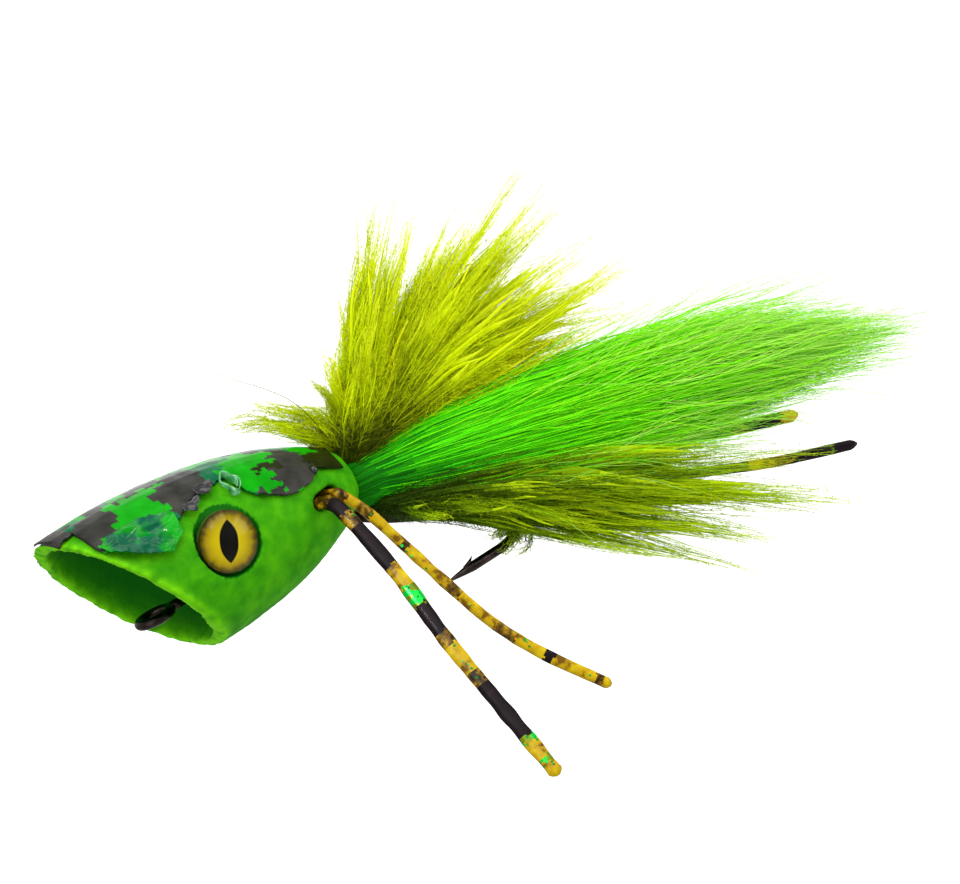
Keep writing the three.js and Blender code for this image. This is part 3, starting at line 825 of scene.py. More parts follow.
def make_eyes():
    """Printed irises with a slit pupil, under clear domes."""
    iris, lens = iris_material(), lens_material()
    for side, word in ((LEFT, "left"), (RIGHT, "right")):
        low, high = [np.array(v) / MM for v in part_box("eye_disc_" + word)]
        radius = (high[2] - low[2]) / 2
        back, front = sorted((abs(low[1]), abs(high[1])))
        radii = np.linspace(0.02, radius, EYE_RINGS)
        rise = front - 0.08 * (radii / radius) ** 2
        profile = [(r, h) for r, h in zip(radii, rise)] + [(radius, back), (0.02, back)]

        def furrows(r, a):
            share = r / radius
            if share > 0.97 or share < 0.2:
                return 0.0
            return 0.03 * noise.noise(Vector((9 * math.cos(a), 9 * math.sin(a), share * 1.5))) * share

        disc = revolve_eye("iris_" + word, side, profile, [iris], furrows)
        rows, values = [], []
        for r, _ in profile:
            for a in np.linspace(0, 2 * math.pi, EYE_SEGMENTS, endpoint=False):
                streak = noise.noise(Vector((7 * math.cos(a), 7 * math.sin(a), r * 0.6)))
                rows.append(min(1.0, max(0.0, r / radius + 0.08 * streak)))
                x, z = r * math.cos(a), r * math.sin(a)
                up = x * math.sin(PUPIL_TILT) + z * math.cos(PUPIL_TILT)
                across = x * math.cos(PUPIL_TILT) - z * math.sin(PUPIL_TILT)
                width = PUPIL_HALF[0] * max(0.0, 1 - abs(up / PUPIL_HALF[1]) ** 2.5)
                values.append(min(1.0, max(0.0, 0.5 + (abs(across) - width) * 0.9)))
        set_attribute(disc, "ring", rows)
        set_attribute(disc, "slit", values)
        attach(disc, "head")
        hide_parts("eye_disc_" + word)

        low, high = [np.array(v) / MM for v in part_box("eye_lens_" + word)]
        inner, outer = sorted((abs(low[1]), abs(high[1])))
        radius = (high[2] - low[2]) / 2
        height = outer - inner
        turn = np.linspace(0.02, 0.5 * math.pi, 28)
        dome = [(radius * math.sin(t), inner + height * math.cos(t) ** 1.15) for t in turn]
        dome += [(radius * 0.97, inner), (0.02, inner)]
        cover = revolve_eye("lens_" + word, side, dome, [lens])
        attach(cover, "head")
        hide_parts("eye_lens_" + word)


# ---------------------------------------------------------------- hook and threads


def make_hook():
    """Black nickel wire hook: closed eye, shank, round bend, and a sharp barbed point."""
    nickel = mottled_material("black_nickel_wire", (
        (0.3, rgb(30, 26, 25)), (0.55, rgb(58, 50, 47)), (0.75, rgb(92, 78, 74))),
        900.0, (0.14, 0.34), 0.12, Metallic=1.0)
    turn = np.linspace(0, 2 * math.pi, 72, endpoint=False)
    eye = np.stack([HOOK_EYE_RADIUS * np.cos(turn), HOOK_EYE_RADIUS * np.sin(turn), 0 * turn], 1)
    parts = [sweep(eye, WIRE_RADIUS, WIRE_RADIUS, 20, (0, 0, 1), closed=True)]
    shank = [(x, 0.0, 0.0) for x in np.linspace(HOOK_EYE_RADIUS, SHANK_END, 30)]
    drop = np.linspace(0, math.pi, 60)[1:]
    bend = [(SHANK_END + BEND_RADIUS * math.sin(a), 0.0, BEND_RADIUS * (math.cos(a) - 1)) for a in drop]
    run = [(x, 0.0, -2 * BEND_RADIUS) for x in np.linspace(SHANK_END, POINT_X, 40)[1:]]
    path = np.array(shank + bend + run)
    radius = np.full(len(path), WIRE_RADIUS)
    on_run = np.arange(len(path)) >= len(shank) + len(bend)
    to_point = path[:, 0] - POINT_X
    radius[on_run] = WIRE_RADIUS * np.clip(to_point[on_run] / POINT_LENGTH, 0.03, 1) ** 0.75
    parts.append(sweep(path, radius, radius, 20, (0, 1, 0)))
    barb = [(BARB_X, 0, -2 * BEND_RADIUS + 0.2), (BARB_X + 0.6, 0, -2 * BEND_RADIUS + 0.5),
            (BARB_X + 1.25, 0, -2 * BEND_RADIUS + 0.95)]
    parts.append(sweep(barb, (0.32, 0.24, 0.03), (0.3, 0.2, 0.03), 12, (0, 1, 0)))
    points, faces = [], []
    for p, f, _ in parts:
        offset = sum(len(q) for q in points)
        faces += [tuple(offset + v for v in face) for face in f]
        points.append(p)
    hook = add_piece("hook_wire", np.vstack(points), faces, [nickel])
    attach(hook, "head")
    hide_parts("hook")


def finish_cad_nodes():
    """Better materials for the CAD nodes that stay: thread, pads and the hidden leg middles."""
    thread, nodes, links, shader = new_material("thread_wraps", rgb(84, 120, 10), 0.5)
    place = nodes.new("ShaderNodeTexCoord")
    wave = nodes.new("ShaderNodeTexWave")
    wave.inputs["Scale"].default_value = 1400.0
    wave.inputs["Distortion"].default_value = 0.6
    links.new(place.outputs["Object"], wave.inputs["Vector"])
    wraps = ramp_node(nodes, links, wave.outputs["Fac"], (
        (0.2, rgb(50, 78, 6)), (0.8, rgb(120, 160, 24))))
    links.new(wraps.outputs["Color"], shader.inputs["Base Color"])
    add_bump(nodes, links, shader, wave.outputs["Fac"], 0.8, 0.12)
    # The eye pads are coloured dark olive green: painted shade round the lens in the socket, not the
    # tape's own colour.
    pad = mottled_material("foam_tape_painted_shade", (
        (0.3, rgb(44, 66, 12)), (0.7, rgb(70, 96, 22))), 1600.0, (0.6, 0.85), 0.5)
    core = mottled_material("leg_core_gold", (
        (0.3, rgb(120, 78, 12)), (0.6, rgb(206, 158, 16))), 1100.0, (0.3, 0.45), 0.3)
    finishes = {"thread_base": thread, "collar_thread": thread, "eye_pad_left": pad,
                "eye_pad_right": pad, "leg_core_front": core, "leg_core_rear": core}
    for node, material in finishes.items():
        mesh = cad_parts[node].data
        mesh.materials.clear()
        mesh.materials.append(material)


# ---------------------------------------------------------------- legs


def leg_materials():
    """Silicone in each colour of the painted bars."""
    gold = mottled_material("silicone_gold", (
        (0.36, rgb(112, 78, 0)), (0.46, rgb(184, 148, 0)), (0.7, rgb(214, 186, 4))),
        900.0, (0.24, 0.4), 0.4, Coat_Weight=0.05, Specular_IOR_Level=0.12)
    brown = mottled_material("silicone_brown", (
        (0.38, rgb(40, 26, 4)), (0.52, rgb(110, 80, 4)), (0.66, rgb(180, 144, 6))),
        1300.0, (0.26, 0.42), 0.4, Coat_Weight=0.05, Specular_IOR_Level=0.12)
    black = mottled_material("silicone_black", (
        (0.35, rgb(14, 4, 7)), (0.6, rgb(24, 9, 13)), (0.8, rgb(44, 24, 22))),
        1000.0, (0.36, 0.5), 0.35, Coat_Weight=0.02, Specular_IOR_Level=0.1)
    speck = speckled_material("silicone_speck", rgb(24, 26, 4), rgb(70, 110, 8), 2300.0, 0.1, 0.34)
    glitter = speckled_material("silicone_glitter", rgb(96, 112, 2), rgb(0, 176, 50), 1500.0, 0.35, 0.22)
    return [gold, brown, black, speck, glitter]


def make_legs():
    """Flat silicone strands with painted bars and glitter flakes, bending where they leave the head."""
    materials = leg_materials()
    flake = mottled_material("hex_glitter", (
        (0.3, rgb(0, 120, 30)), (0.7, rgb(20, 200, 80))), 3000.0, (0.1, 0.25), 0.1, Metallic=0.6)
    rng = np.random.default_rng(31)
    for name, (hole_x, width, route) in LEGS.items():
        side = LEFT if name.startswith("left") else RIGHT
        inside = [(0.0, side * LEG_INSIDE, 0.0), (0.0, side * 5.75, 0.0)]
        origin = np.array((hole_x, 0.0, LEG_Z))
        path = smooth_curve([np.array(p) + origin for p in inside + list(route)], 150)
        count = len(path)
        share = np.linspace(0, 1, count)
        uneven = np.array([noise.noise(Vector((s * 19, hole_x, side))) for s in share])
        half = width / 2 * (0.95 + 0.16 * uneven)
        thick = LEG_THICKNESS / 2 * (1 - 0.1 * uneven)
        blunt = np.sqrt(np.clip((1 - share) / 0.012, 0.08, 1))
        points, faces, rings = sweep(path, half * blunt, thick * blunt, 16, (1, 0, 0.35), 2.5)
        starts, kinds = zip(*LEG_BARS[name])
        bars = []
        for f, ring in enumerate(rings):
            wobble = 0.012 * noise.noise(Vector((f * 0.7, ring * 0.2, hole_x)))
            bars.append(kinds[max(0, np.searchsorted(starts, share[ring] + wobble, "right") - 1)])
        leg = add_piece("leg_" + name + "_strand", points, faces, materials, bars)
        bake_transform(leg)
        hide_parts("leg_" + name)
        add_flakes("flakes_" + name, path, half, thick, name, flake, rng)


def add_flakes(name, path, half, thick, leg, material, rng):
    """Small hexagonal glitter flakes set into a leg's skin, beyond the part that bends."""
    points, faces = [], []
    tangent = unit(np.gradient(path, axis=0))
    starts, kinds = zip(*LEG_BARS[leg])
    hint = np.array((1, 0, 0.35))
    while len(faces) < FLAKE_COUNT[leg] * 8:
        i = int(rng.integers(16, len(path) - 3))
        kind = kinds[max(0, np.searchsorted(starts, i / (len(path) - 1), "right") - 1)]
        if rng.random() > {GOLD: 0.35, BROWN: 0.4, BLACK: 0.05, SPECK: 0.8, GLITTER: 1.0}[kind]:
            continue
        across = unit(hint - tangent[i] * (tangent[i] @ hint))
        up = np.cross(tangent[i], across)
        offset = rng.uniform(-0.7, 0.7)
        out = up * (1 if rng.random() < 0.5 else -1)
        proud = thick[i] * (1 - 0.25 * abs(offset) ** 3) - 0.01
        centre = path[i] + across * half[i] * offset + out * proud
        radius = rng.uniform(0.1, 0.17)
        tilt = unit(out + across * rng.normal(0, 0.25) + tangent[i] * rng.normal(0, 0.25))
        u = unit(np.cross(tilt, tangent[i]))
        v = np.cross(tilt, u)
        base = len(points)
        for lift in (-0.02, 0.04):
            for k in range(6):
                a = k * math.pi / 3
                points.append(centre + tilt * lift + radius * (u * math.cos(a) + v * math.sin(a)))
        faces.append(tuple(base + k for k in range(6))[::-1])
        faces.append(tuple(base + 6 + k for k in range(6)))
        for k in range(6):
            m = (k + 1) % 6
            faces.append((base + k, base + m, base + 6 + m, base + 6 + k))
    piece = add_piece(name, points, faces, [material], smooth=False)
    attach(piece, leg + "_leg")


# ---------------------------------------------------------------- tail and marabou


def tone_materials(name, tones, zones, gloss):
    """One fibre material for each tone and zone: tones are factors, zones are colours from root to tip."""
    return [fibre_material(f"{name}_{i}_{j}", shade(colour, tone), gloss)
            for i, tone in enumerate(tones) for j, colour in enumerate(zones)]


def make_tail():
    """The free-flowing craft hair: fine wavy strands from the collar, sparser to their tips, with painted
    shade at the root and painted light on the pale tips.
    """
    # Zones from root to tip: the dark first zone is painted shade at the collar, and the pale last zones
    # are painted light on the backlit tips; the greens between are the hair's own colour.
    zones = (rgb(16, 130, 0), rgb(56, 200, 0), rgb(88, 236, 0), rgb(108, 248, 0),
             rgb(126, 255, 0), rgb(150, 255, 30), rgb(180, 255, 90))
    tones = (0.6, 0.82, 1.0, 1.12, 1.35)
    materials = tone_materials("tail_hair_tone", tones, zones, 0.14)
    xs, zs, heights, widths = np.array(TAIL_STATIONS).T
    steps = 19
    t = np.linspace(0, 1, steps)
    for layer, (count, inner, outer, seed, middle_tone) in enumerate(TAIL_LAYERS):
        rng = np.random.default_rng(seed)
        locks = rng.uniform(0, 2 * math.pi, 70)
        lock = rng.integers(0, len(locks), count)
        angle = locks[lock] + rng.normal(0, 0.2, count)
        share = np.sqrt(rng.uniform(inner ** 2, outer ** 2, count))
        lock_end = rng.normal(0, 4.5, len(locks))[lock]
        end = rng.triangular(54, 78, 91, count) + lock_end * 0.6
        low = np.clip(-np.sin(angle) * share - 0.25, 0, 1)
        end = np.clip(end - 34 * low, 44, 94)
        x = TAIL_ROOT + (end[:, None] - TAIL_ROOT) * t
        centre = np.interp(x, xs, zs)
        turning = angle[:, None] + rng.normal(0, 0.32, count)[:, None] * (t - 0.3)
        z = centre + np.interp(x, xs, heights) * share[:, None] * np.sin(turning)
        y = np.interp(x, xs, widths) * share[:, None] * np.cos(turning)
        lock_wave = wander(np.random.default_rng(seed + 50), len(locks), steps, 0.45, 1.6)[lock]
        paths = np.stack([x, y, z], -1) + lock_wave + wander(rng, count, steps, 0.34, 4.2)
        loose = 2.6 if outer > 1 else 1.0
        flick = rng.normal(0, 1, (count, 1, 3)) * (0.0, 0.9 * loose, 1.3 * loose)
        paths += flick * (t ** 3.5)[None, :, None]
        radii = 0.066 * (1 - 0.74 * t ** 2) * rng.uniform(0.75, 1.2, (count, 1))
        where = zones_along(rng, t ** 0.8, count, len(zones), 0.55)
        points, faces, owner, place = fibres(paths, radii, where)
        lock_tone = rng.normal(middle_tone, 0.6, len(locks))[lock]
        tone = np.clip(np.round(lock_tone + rng.normal(0, 0.75, count)), 0, len(tones) - 1).astype(int)
        slots = tone[owner] * len(zones) + place
        piece = add_piece(f"tail_strands_{layer}", points, faces, materials, slots)
        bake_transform(piece)
        if layer == 0:
            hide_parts("tail_base", "tail_hair")


def make_plume(name, body, nodes_replaced, guides, seed, materials, zones, tones,
               barbs=22, barbules=34, width=1.7, fuzz=1.0, barb_radius=0.055):
    """A marabou bundle. guides is a list of (root, middle, tip, size): each is a lock of barbs that
    gathers to a point, and every barb carries fine barbules."""
    rng = np.random.default_rng(seed)
    steps = 13
    t = np.linspace(0, 1, steps)
    swell = np.sin(math.pi * (0.04 + 0.9 * t ** 0.9)) ** 0.8
    all_paths, lock_of = [], []
    for g, (root, middle, tip, size) in enumerate(guides):
        root, middle, tip = (np.array(p, float) for p in (root, middle, tip))
        for _ in range(barbs):
            s = t * rng.triangular(0.55, 1.04, 1.08)
            line = bowed(root, middle, tip, s)
            offset = rng.normal(0, 1, 3) * width * size * (0.6, 0.9, 0.6)
            all_paths.append(line + offset * swell[:, None])
            lock_of.append(g)
    paths = np.array(all_paths)
    lock_of = np.array(lock_of)
    count = len(paths)
    paths += wander(rng, len(guides), steps, 0.55, 1.5)[lock_of] + wander(rng, count, steps, 0.25, 2.2)
    radii = np.broadcast_to(barb_radius * (1 - 0.7 * t ** 1.6), (count, steps))
    where = zones_along(rng, t, count, zones, 0.4)
    points, faces, owner, place = fibres(paths, radii, where)
    lock_tone = rng.normal((tones - 1) / 2, 0.8, len(guides))[lock_of]
    tone = np.clip(np.round(lock_tone + rng.normal(0, 0.5, count)), 0, tones - 1).astype(int)
    slots = tone[owner] * zones + place
    which = np.repeat(np.arange(count), barbules)
    along = rng.uniform(0.06, 0.97, len(which))
    low = np.minimum((along * (steps - 1)).astype(int), steps - 2)
    part = (along * (steps - 1) - low)[:, None]
    start = paths[which, low] * (1 - part) + paths[which, low + 1] * part
    forward = unit(paths[which, low + 1] - paths[which, low])
    aside = unit(np.cross(forward, rng.normal(0, 1, (len(which), 3))))
    length = fuzz * rng.uniform(0.6, 1.7, len(which)) * (1.25 - 0.95 * along)
    tips = start + unit(forward * rng.uniform(0.5, 1.4, (len(which), 1)) + aside) * length[:, None]
    spike_points, spike_faces = spikes(start, tips, 0.03)
    spike_slots = np.repeat(tone[which] * zones + where[which, low], 4)
    piece = add_piece(name, np.vstack([points, spike_points]),
                      faces + (spike_faces + len(points)).tolist(), materials,
                      np.concatenate([slots, spike_slots]))
    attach(piece, body)
    if nodes_replaced:
        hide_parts(*nodes_replaced)


# Where the plumes are tied in, and where their locks end in side view, as (x, z).
UPPER_ROOT = (25.2, 0.0, 3.0)
LOWER_ROOT = {side: (26.0, side * 1.7, -2.2) for side in (LEFT, RIGHT)}
UPPER_TIPS = ((29.6, 10.6), (32.6, 14.2), (34.8, 17.4), (37.0, 20.0), (39.0, 18.8), (41.0, 23.0),
              (42.8, 20.4), (44.6, 16.4), (48.8, 16.8), (53.6, 18.6), (54.6, 16.2), (57.4, 14.4),
              (56.6, 10.8), (60.4, 9.0), (60.0, 5.4), (64.5, 3.2), (61.0, 0.6), (55.0, 0.8))
UPPER_FLAMES = ((37.6, 20.4), (40.2, 22.8), (43.2, 20.0), (44.6, 16.8), (48.6, 17.4), (52.0, 14.3),
                (57.0, 15.0), (55.0, 18.4), (57.4, 8.3), (58.9, 4.9), (60.8, 5.2), (55.3, 1.6))
LOWER_FLAMES = ((54.6, -20.9), (60.6, -25.2), (50.8, -21.2), (59.0, -28.1), (73.2, -28.6),
                (68.5, -24.9), (64.0, -27.4))
LOWER_TIPS = ((31.0, -6.4), (35.4, -7.8), (40.1, -10.2), (43.4, -11.6), (49.5, -15.4), (53.5, -19.6),
              (56.5, -23.6), (60.5, -23.8), (64.0, -26.4), (68.0, -25.0), (73.0, -28.4), (78.5, -29.6),
              (78.0, -25.0), (76.0, -22.5), (68.0, -19.0), (60.0, -16.0))
# The front tuft's tips over the head, as (x, y, z).
TUFT_TIPS = (
    (15.6, 0.6, 12.2), (17.4, 1.4, 12.8), (17.0, 2.2, 11.2), (20.2, 0.4, 12.4),
    (18.4, 0.0, 10.4), (23.0, 0.8, 11.8), (21.6, 2.4, 12.0), (24.8, 0.4, 12.6),
    (21.0, 0.0, 9.8), (27.2, -0.6, 13.2), (26.2, 1.6, 11.6), (28.6, 0.0, 13.6),
)
BEND_CLEARANCE = {LEFT: 7.0, RIGHT: 4.2}  # how far each lower half bows up over the hook's bend


def fan_guides(rng, count, root, tips, lean, half_width, shortest):
    """Locks that fan out from a root and gather at places along a line of tips, bowed by lean."""
    line = np.array(tips)
    guides = []
    for i in range(count):
        f = (i + rng.uniform(0, 1)) / count * (len(line) - 1)
        nearest = round(f)
        between = abs(f - nearest) * 2
        f = nearest + (f - nearest) * 0.4
        k = min(int(f), len(line) - 2)
        x, z = line[k] + (line[k + 1] - line[k]) * (f - k)
        start = np.array(root) + rng.normal(0, 0.35, 3) * (0.6, 1.2, 1.0)
        tip = np.array((x, rng.uniform(-1, 1) * half_width, z))
        reach = rng.triangular(shortest, 1.08, 1.12) * (1 - 0.2 * between)
        tip = start + (tip - start) * reach
        run = tip - start
        bow = np.array((-run[2], 0.0, run[0])) * lean * rng.uniform(0.4, 1.3) * (2 * i / count - 0.3)
        middle = start + run * 0.5 + bow + np.array((0, rng.normal(0, 0.5), 0))
        guides.append((start, middle, tip, 0.35 + 0.65 * np.linalg.norm(run) / 36))
    return guides


def flame_guides(rng, root, tips, y_middle, y_spread, bow):
    """Narrow locks that end in a point at each place."""
    guides = []
    for x, z in tips * 2:
        start = np.array(root) + rng.normal(0, 0.3, 3)
        tip = np.array((x, y_middle + rng.uniform(-1, 1) * y_spread, z)) + rng.normal(0, 0.25, 3)
        middle = (start + tip) / 2 + rng.normal(0, 0.5, 3) + (0.0, 0.0, bow * rng.uniform(0.3, 1.0))
        guides.append((start, middle, tip, 0.3))
    return guides


def make_vanes(name, body, guides, seed, materials, zones, tones, width):
    """Soft flat vanes along the middle of each lock, that fill the bundle between its barbs."""
    rng = np.random.default_rng(seed)
    steps = 22
    t = np.linspace(0, 1, steps)
    pieces, faces, slots = [], [], []
    for root, middle, tip, size in guides * 3:
        aside = rng.normal(0, 0.55, 3) * size
        root, middle, tip = (np.array(p, float) for p in (root, middle + aside, tip + aside))
        s = t * rng.uniform(0.55, 0.9)
        path = bowed(root, middle, tip, s)
        path += wander(rng, 1, steps, 0.45, 2.0)[0]
        jagged = np.array([noise.noise(Vector((v * 9, seed, len(pieces)))) for v in t])
        shape = np.sin(math.pi * np.clip(0.06 + 0.94 * t ** 0.85, 0, 0.995)) ** 0.8
        half = width * size * shape * (1 + 0.7 * jagged) + 0.02
        side = unit(np.cross(tip - root, (rng.normal(0, 0.5), 1.0, rng.normal(0, 0.5))))
        points, quads, rings = sweep(path, half, 0.04 + 0.14 * shape, 8, side)
        base = sum(len(q) for q in pieces)
        faces += [tuple(base + v for v in quad) for quad in quads]
        pieces.append(points)
        tone = int(np.clip(round(rng.normal((tones - 1) / 2, 0.7)), 0, tones - 1))
        zone = t[rings] * zones + rng.normal(0, 0.35, len(rings))
        zone = np.clip(zone.astype(int), 0, zones - 1)
        slots += (tone * zones + zone).tolist()
    piece = add_piece(name, np.vstack(pieces), faces, materials, slots)
    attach(piece, body)


def make_marabou():
    """Upper plume, front tuft and the two lower halves, with barbs that cling to the hook bend."""
    upper_zones = (rgb(76, 90, 0), rgb(166, 184, 0), rgb(224, 246, 0), rgb(236, 255, 0), rgb(240, 255, 30))
    # Zones from root to tip: the dark first zones are painted shade deep in the bundle, and the bright
    # last zones are painted light where light shines through the tips; the yellow-greens between are the
    # marabou's own colour.
    lower_zones = (rgb(50, 74, 0), rgb(68, 98, 0), rgb(98, 132, 0), rgb(160, 198, 0), rgb(210, 240, 14))
    tones = (0.72, 0.88, 1.0, 1.14)
    upper = tone_materials("upper_marabou_tone", tones, upper_zones, 0.08)
    lower = tone_materials("lower_marabou_tone", tones, lower_zones, 0.08)
    count = len(tones)
    for part, half_width, seed in (("near", 2.6, 12), ("far", 3.6, 13)):
        rng = np.random.default_rng(seed)
        guides = fan_guides(rng, 34, UPPER_ROOT, UPPER_TIPS, 0.1, half_width, 0.6)
        guides += flame_guides(rng, UPPER_ROOT, UPPER_FLAMES, 0.0, half_width * 0.7, 1.2)
        make_plume("upper_plume_" + part, "upper_plume",
                   ["upper_marabou"] if part == "near" else [], guides, seed + 10,
                   upper, len(upper_zones), count, barbs=15, barbules=36, width=1.2)
        make_vanes("upper_vanes_" + part, "upper_plume", guides, seed + 20, upper,
                   len(upper_zones), count, 0.62)
    rng = np.random.default_rng(14)
    guides = fan_guides(rng, 46, UPPER_ROOT, UPPER_TIPS, 0.1, 3.2, 0.5)
    make_plume("upper_plume_down", "upper_plume", [], guides, 15, upper,
               len(upper_zones), count, barbs=14, barbules=56, fuzz=1.6, width=1.4, barb_radius=0.03)
    guides = [((24.9, y * 0.4, 3.4), ((x + 27.5) / 2 + 1.6, y, 7.9 + (z - 10) * 0.3), (x, y, z), 0.36)
              for x, y, z in TUFT_TIPS]
    make_plume("front_tuft_barbs", "head", ["front_tuft"], guides, 8,
               upper, len(upper_zones), count, barbs=18, barbules=34, width=1.3, fuzz=0.9)
    for side, word in ((LEFT, "left"), (RIGHT, "right")):
        rng = np.random.default_rng(40 + side)
        guides = []
        for root, middle, tip, size in fan_guides(
                rng, 34, LOWER_ROOT[side], LOWER_TIPS, -0.05, 0.0, 0.5):
            y = side * rng.uniform(0.9, 4.2)
            low = min(1.0, max(0.0, -(middle[2] + 6) / 5))
            rise = BEND_CLEARANCE[side] * low * math.exp(-((middle[0] - SHANK_END - BEND_RADIUS) / 8) ** 2)
            guides.append((root, (middle[0], y, middle[2] + rise), (tip[0], y * 1.1, tip[2]), size))
        guides += flame_guides(rng, LOWER_ROOT[side], LOWER_FLAMES, side * 2.6, 1.4, 3.0)
        make_plume("lower_plume_" + word, "lower_plume", ["lower_marabou_" + word],
                   guides, 60 + side, lower, len(lower_zones), count, barbs=15, barbules=38,
                   width=1.1, fuzz=1.1)
        make_vanes("lower_vanes_" + word, "lower_plume", guides, 70 + side, lower,
                   len(lower_zones), count, 0.5)
    make_bend_barbs(lower, len(lower_zones), count)


def bend_place(turn, out, y):
    """A point round the hook's bend: turn in radians from its top, out from the wire's centre."""
    reach = BEND_RADIUS + out
    return np.array((SHANK_END + reach * math.sin(turn), y, reach * math.cos(turn) - BEND_RADIUS))


def make_bend_barbs(materials, zones, tones):
    """Marabou that clings to the hook bend, round the wire."""
    guides = []
    rng = np.random.default_rng(77)
    for _ in range(60):
        a = math.radians(rng.uniform(60, 150))
        b = a + math.radians(rng.uniform(18, 40))
        y = rng.choice((-1, 1)) * rng.uniform(0.5, 0.8)
        out = rng.uniform(-0.9, 1.2)
        guides.append((bend_place(a, out, y), bend_place((a + b) / 2, out + 0.2, y * 1.1),
                       bend_place(b, out - 0.2, y), 0.3))
    make_plume("bend_barbs", "head", [], guides, 5, materials, zones, tones,
               barbs=8, barbules=22, width=1.1, fuzz=0.8)


def make_strays():
    """Long loose fibres that stand clear of the plumes."""
    zones = (rgb(96, 108, 2), rgb(150, 166, 8), rgb(186, 200, 40))
    materials = tone_materials("stray_fibre", (0.8, 1.1), zones, 0.2)
    stray_sets = {
        ("head", "stray_front"): (
            ((24.6, -0.6, 5.2), (22.4, -1, 11.4), (17.0, -1.6, 17.0), (11.6, -2.0, 21.4)),
            ((24.6, 0.2, 5.0), (22.6, 1, 9.4), (19.2, 2, 12.4), (17.2, 2.4, 15.2))),
        ("upper_plume", "stray_upper"): (
            ((26, 0, 4), (33.0, -1, 13), (36.4, -1.4, 18.0), (33.8, -1.6, 22.0)),
            ((26, 0, 4), (32.0, -1, 12), (34.4, -1.2, 17.0), (30.4, -1.6, 23.0)),
            ((27, 0, 5), (34, 1, 14), (38.2, 1.6, 20), (41.4, 2, 25.6)),
            ((27, 0, 5), (33, -1, 12), (39.6, -2, 18), (45.0, -2.4, 21.4)),
            ((27, 0, 5), (38, -1, 12), (47, -2, 17), (55.6, -2.4, 21.0)),
            ((27, 1, 4), (42, 2, 9), (55, 3, 11.4), (64.0, 3.4, 14.4)),
            ((27, -1, 4), (44, -2, 6.4), (58, -3, 7.4), (66.5, -3.6, 6.2))),
        ("lower_plume", "stray_lower"): (
            ((28, -2, -4), (46, -3, -14), (62, -4, -24), (74, -4.6, -33)),
            ((28, 2, -4), (50, 3, -17), (66, 4, -26), (80, 4.4, -31.0)),
            ((28, -2, -4), (52, -3, -18), (70, -3.6, -25), (82, -4, -27.5)),
            ((28, 2, -4), (44, 3, -15), (58, 3.6, -24), (66, 4, -31.5))),
    }
    steps = 40
    t = np.linspace(0, 1, steps)
    for (body, name), lines in stray_sets.items():
        paths = np.array([smooth_curve(line, steps) for line in lines])
        radii = np.broadcast_to(0.055 * (1 - 0.7 * t), paths.shape[:2])
        where = zones_along(np.random.default_rng(3), t, len(paths), len(zones), 0.1)
        points, faces, owner, place = fibres(paths, radii, where)
        piece = add_piece(name, points, faces, materials, (owner % 2) * len(zones) + place)
        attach(piece, body)


# ---------------------------------------------------------------- camera, light and floor


def camera_axes():
    """The camera's right, up and back directions."""
    a, e, r = (math.radians(v) for v in (CAMERA_AZIMUTH, CAMERA_ELEVATION, CAMERA_ROLL))
    back = Vector((math.sin(a) * math.cos(e), -math.cos(a) * math.cos(e), math.sin(e)))
    level = Vector((math.cos(a), math.sin(a), 0.0))
    upright = back.cross(level)
    right = math.cos(r) * level + math.sin(r) * upright
    return right, back.cross(right), back


def make_camera():
    """A long lens at the photograph's viewing angle."""
    right, up, back = camera_axes()
    camera = bpy.data.objects.new("camera", bpy.data.cameras.new("camera"))
    camera.data.lens = CAMERA_LENS
    camera.data.sensor_width = SENSOR_WIDTH
    camera.data.clip_start = 0.01
    camera.data.clip_end = 10.0
    place = (Vector(CAMERA_TARGET) + back * CAMERA_DISTANCE) * MM
    camera.matrix_world = Matrix.Translation(place) @ Matrix((right, up, back)).transposed().to_4x4()
    bpy.context.scene.collection.objects.link(camera)
    bpy.context.scene.camera = camera


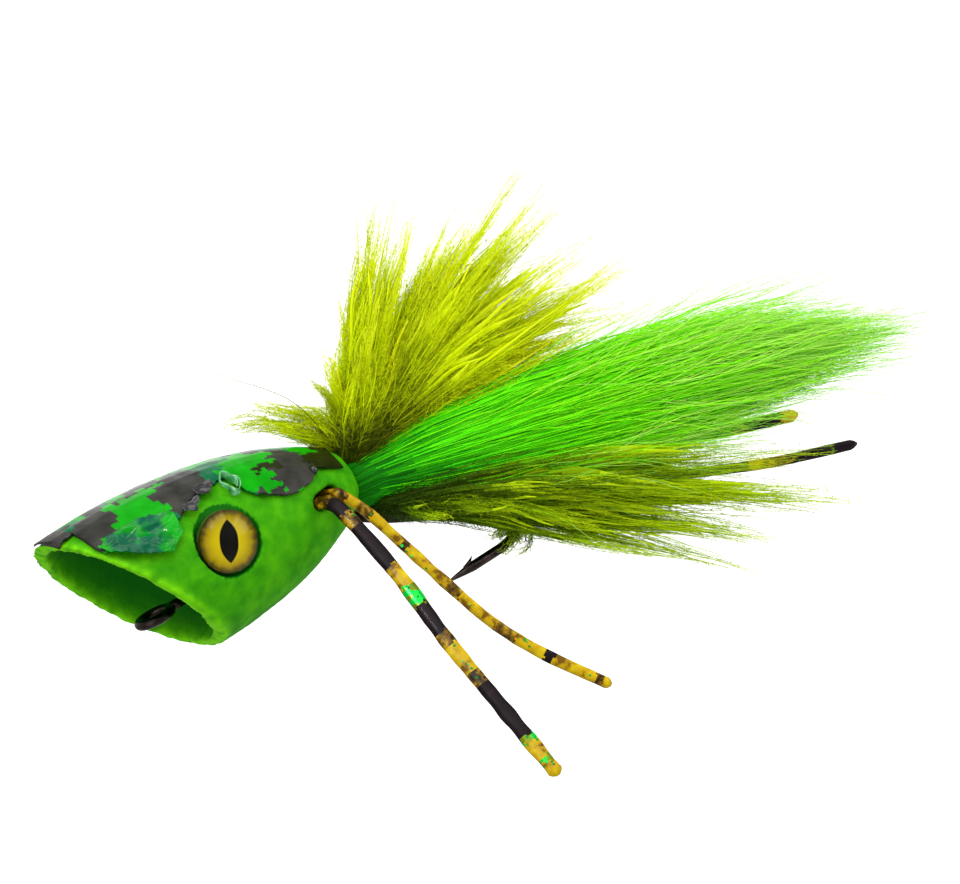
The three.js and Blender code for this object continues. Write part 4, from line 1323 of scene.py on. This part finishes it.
def make_light(name, direction, distance, size, power):
    """A soft square light that faces the object."""
    data = bpy.data.lights.new(name, "AREA")
    data.size = size * MM
    data.energy = power
    light = bpy.data.objects.new(name, data)
    out = Vector(direction).normalized()
    light.location = (Vector(CAMERA_TARGET) + out * distance) * MM
    light.rotation_mode = "QUATERNION"
    light.rotation_quaternion = out.to_track_quat("Z", "Y")
    light.visible_camera = False
    bpy.context.scene.collection.objects.link(light)
    return light


def make_studio():
    """White surroundings, a floor, and soft lights: key, tail, fill, rim and a small one for gloss."""
    scene = bpy.context.scene
    scene.view_settings.view_transform = "Standard"
    world = bpy.data.worlds.new("studio")
    world.use_nodes = True
    nodes, links = world.node_tree.nodes, world.node_tree.links
    seen = nodes.new("ShaderNodeLightPath")
    strength = nodes.new("ShaderNodeMapRange")
    strength.inputs["To Min"].default_value = 0.66
    strength.inputs["To Max"].default_value = 1.0
    links.new(seen.outputs["Is Camera Ray"], strength.inputs["Value"])
    nodes["Background"].inputs["Color"].default_value = (1, 1, 1, 1)
    links.new(strength.outputs["Result"], nodes["Background"].inputs["Strength"])
    scene.world = world
    right, up, back = camera_axes()
    make_light("key", up * 0.9 + back * 0.5 - right * 0.3, 300, 320, 0.8)
    spark = make_light("spark", up * 0.75 + back * 0.8 - right * 0.45, 330, 26, 0.26)
    spark.visible_diffuse = False
    make_light("tail", right * 0.9 + up * 0.6 + back * 0.35, 300, 200, 0.34)
    make_light("fill", back * 0.9 - right * 0.6 - up * 0.3, 340, 300, 0.2)
    make_light("rim", up * 0.45 - back * 0.9 - right * 0.1, 320, 200, 0.3)
    floor_z = CAD_BOX[0][2] / MM - 120
    corners = [(sx * 3000, sy * 3000, floor_z) for sx, sy in ((-1, -1), (1, -1), (1, 1), (-1, 1))]
    material, nodes, links, shader = new_material("floor_pale", (0.55, 0.55, 0.55, 1), 0.9)
    shader.inputs["Emission Color"].default_value = (1, 1, 1, 1)
    seen = nodes.new("ShaderNodeLightPath")
    links.new(seen.outputs["Is Camera Ray"], shader.inputs["Emission Strength"])
    floor = add_piece("floor", corners, [(0, 1, 2, 3)], [material])


make_camera()
make_studio()
make_foam()
make_film()
foil_black = black_foil()
make_tags(foil_black)
make_curl()
make_bead(foil_black)
make_eyes()
make_hook()
finish_cad_nodes()
make_legs()
make_tail()
make_marabou()
make_strays()
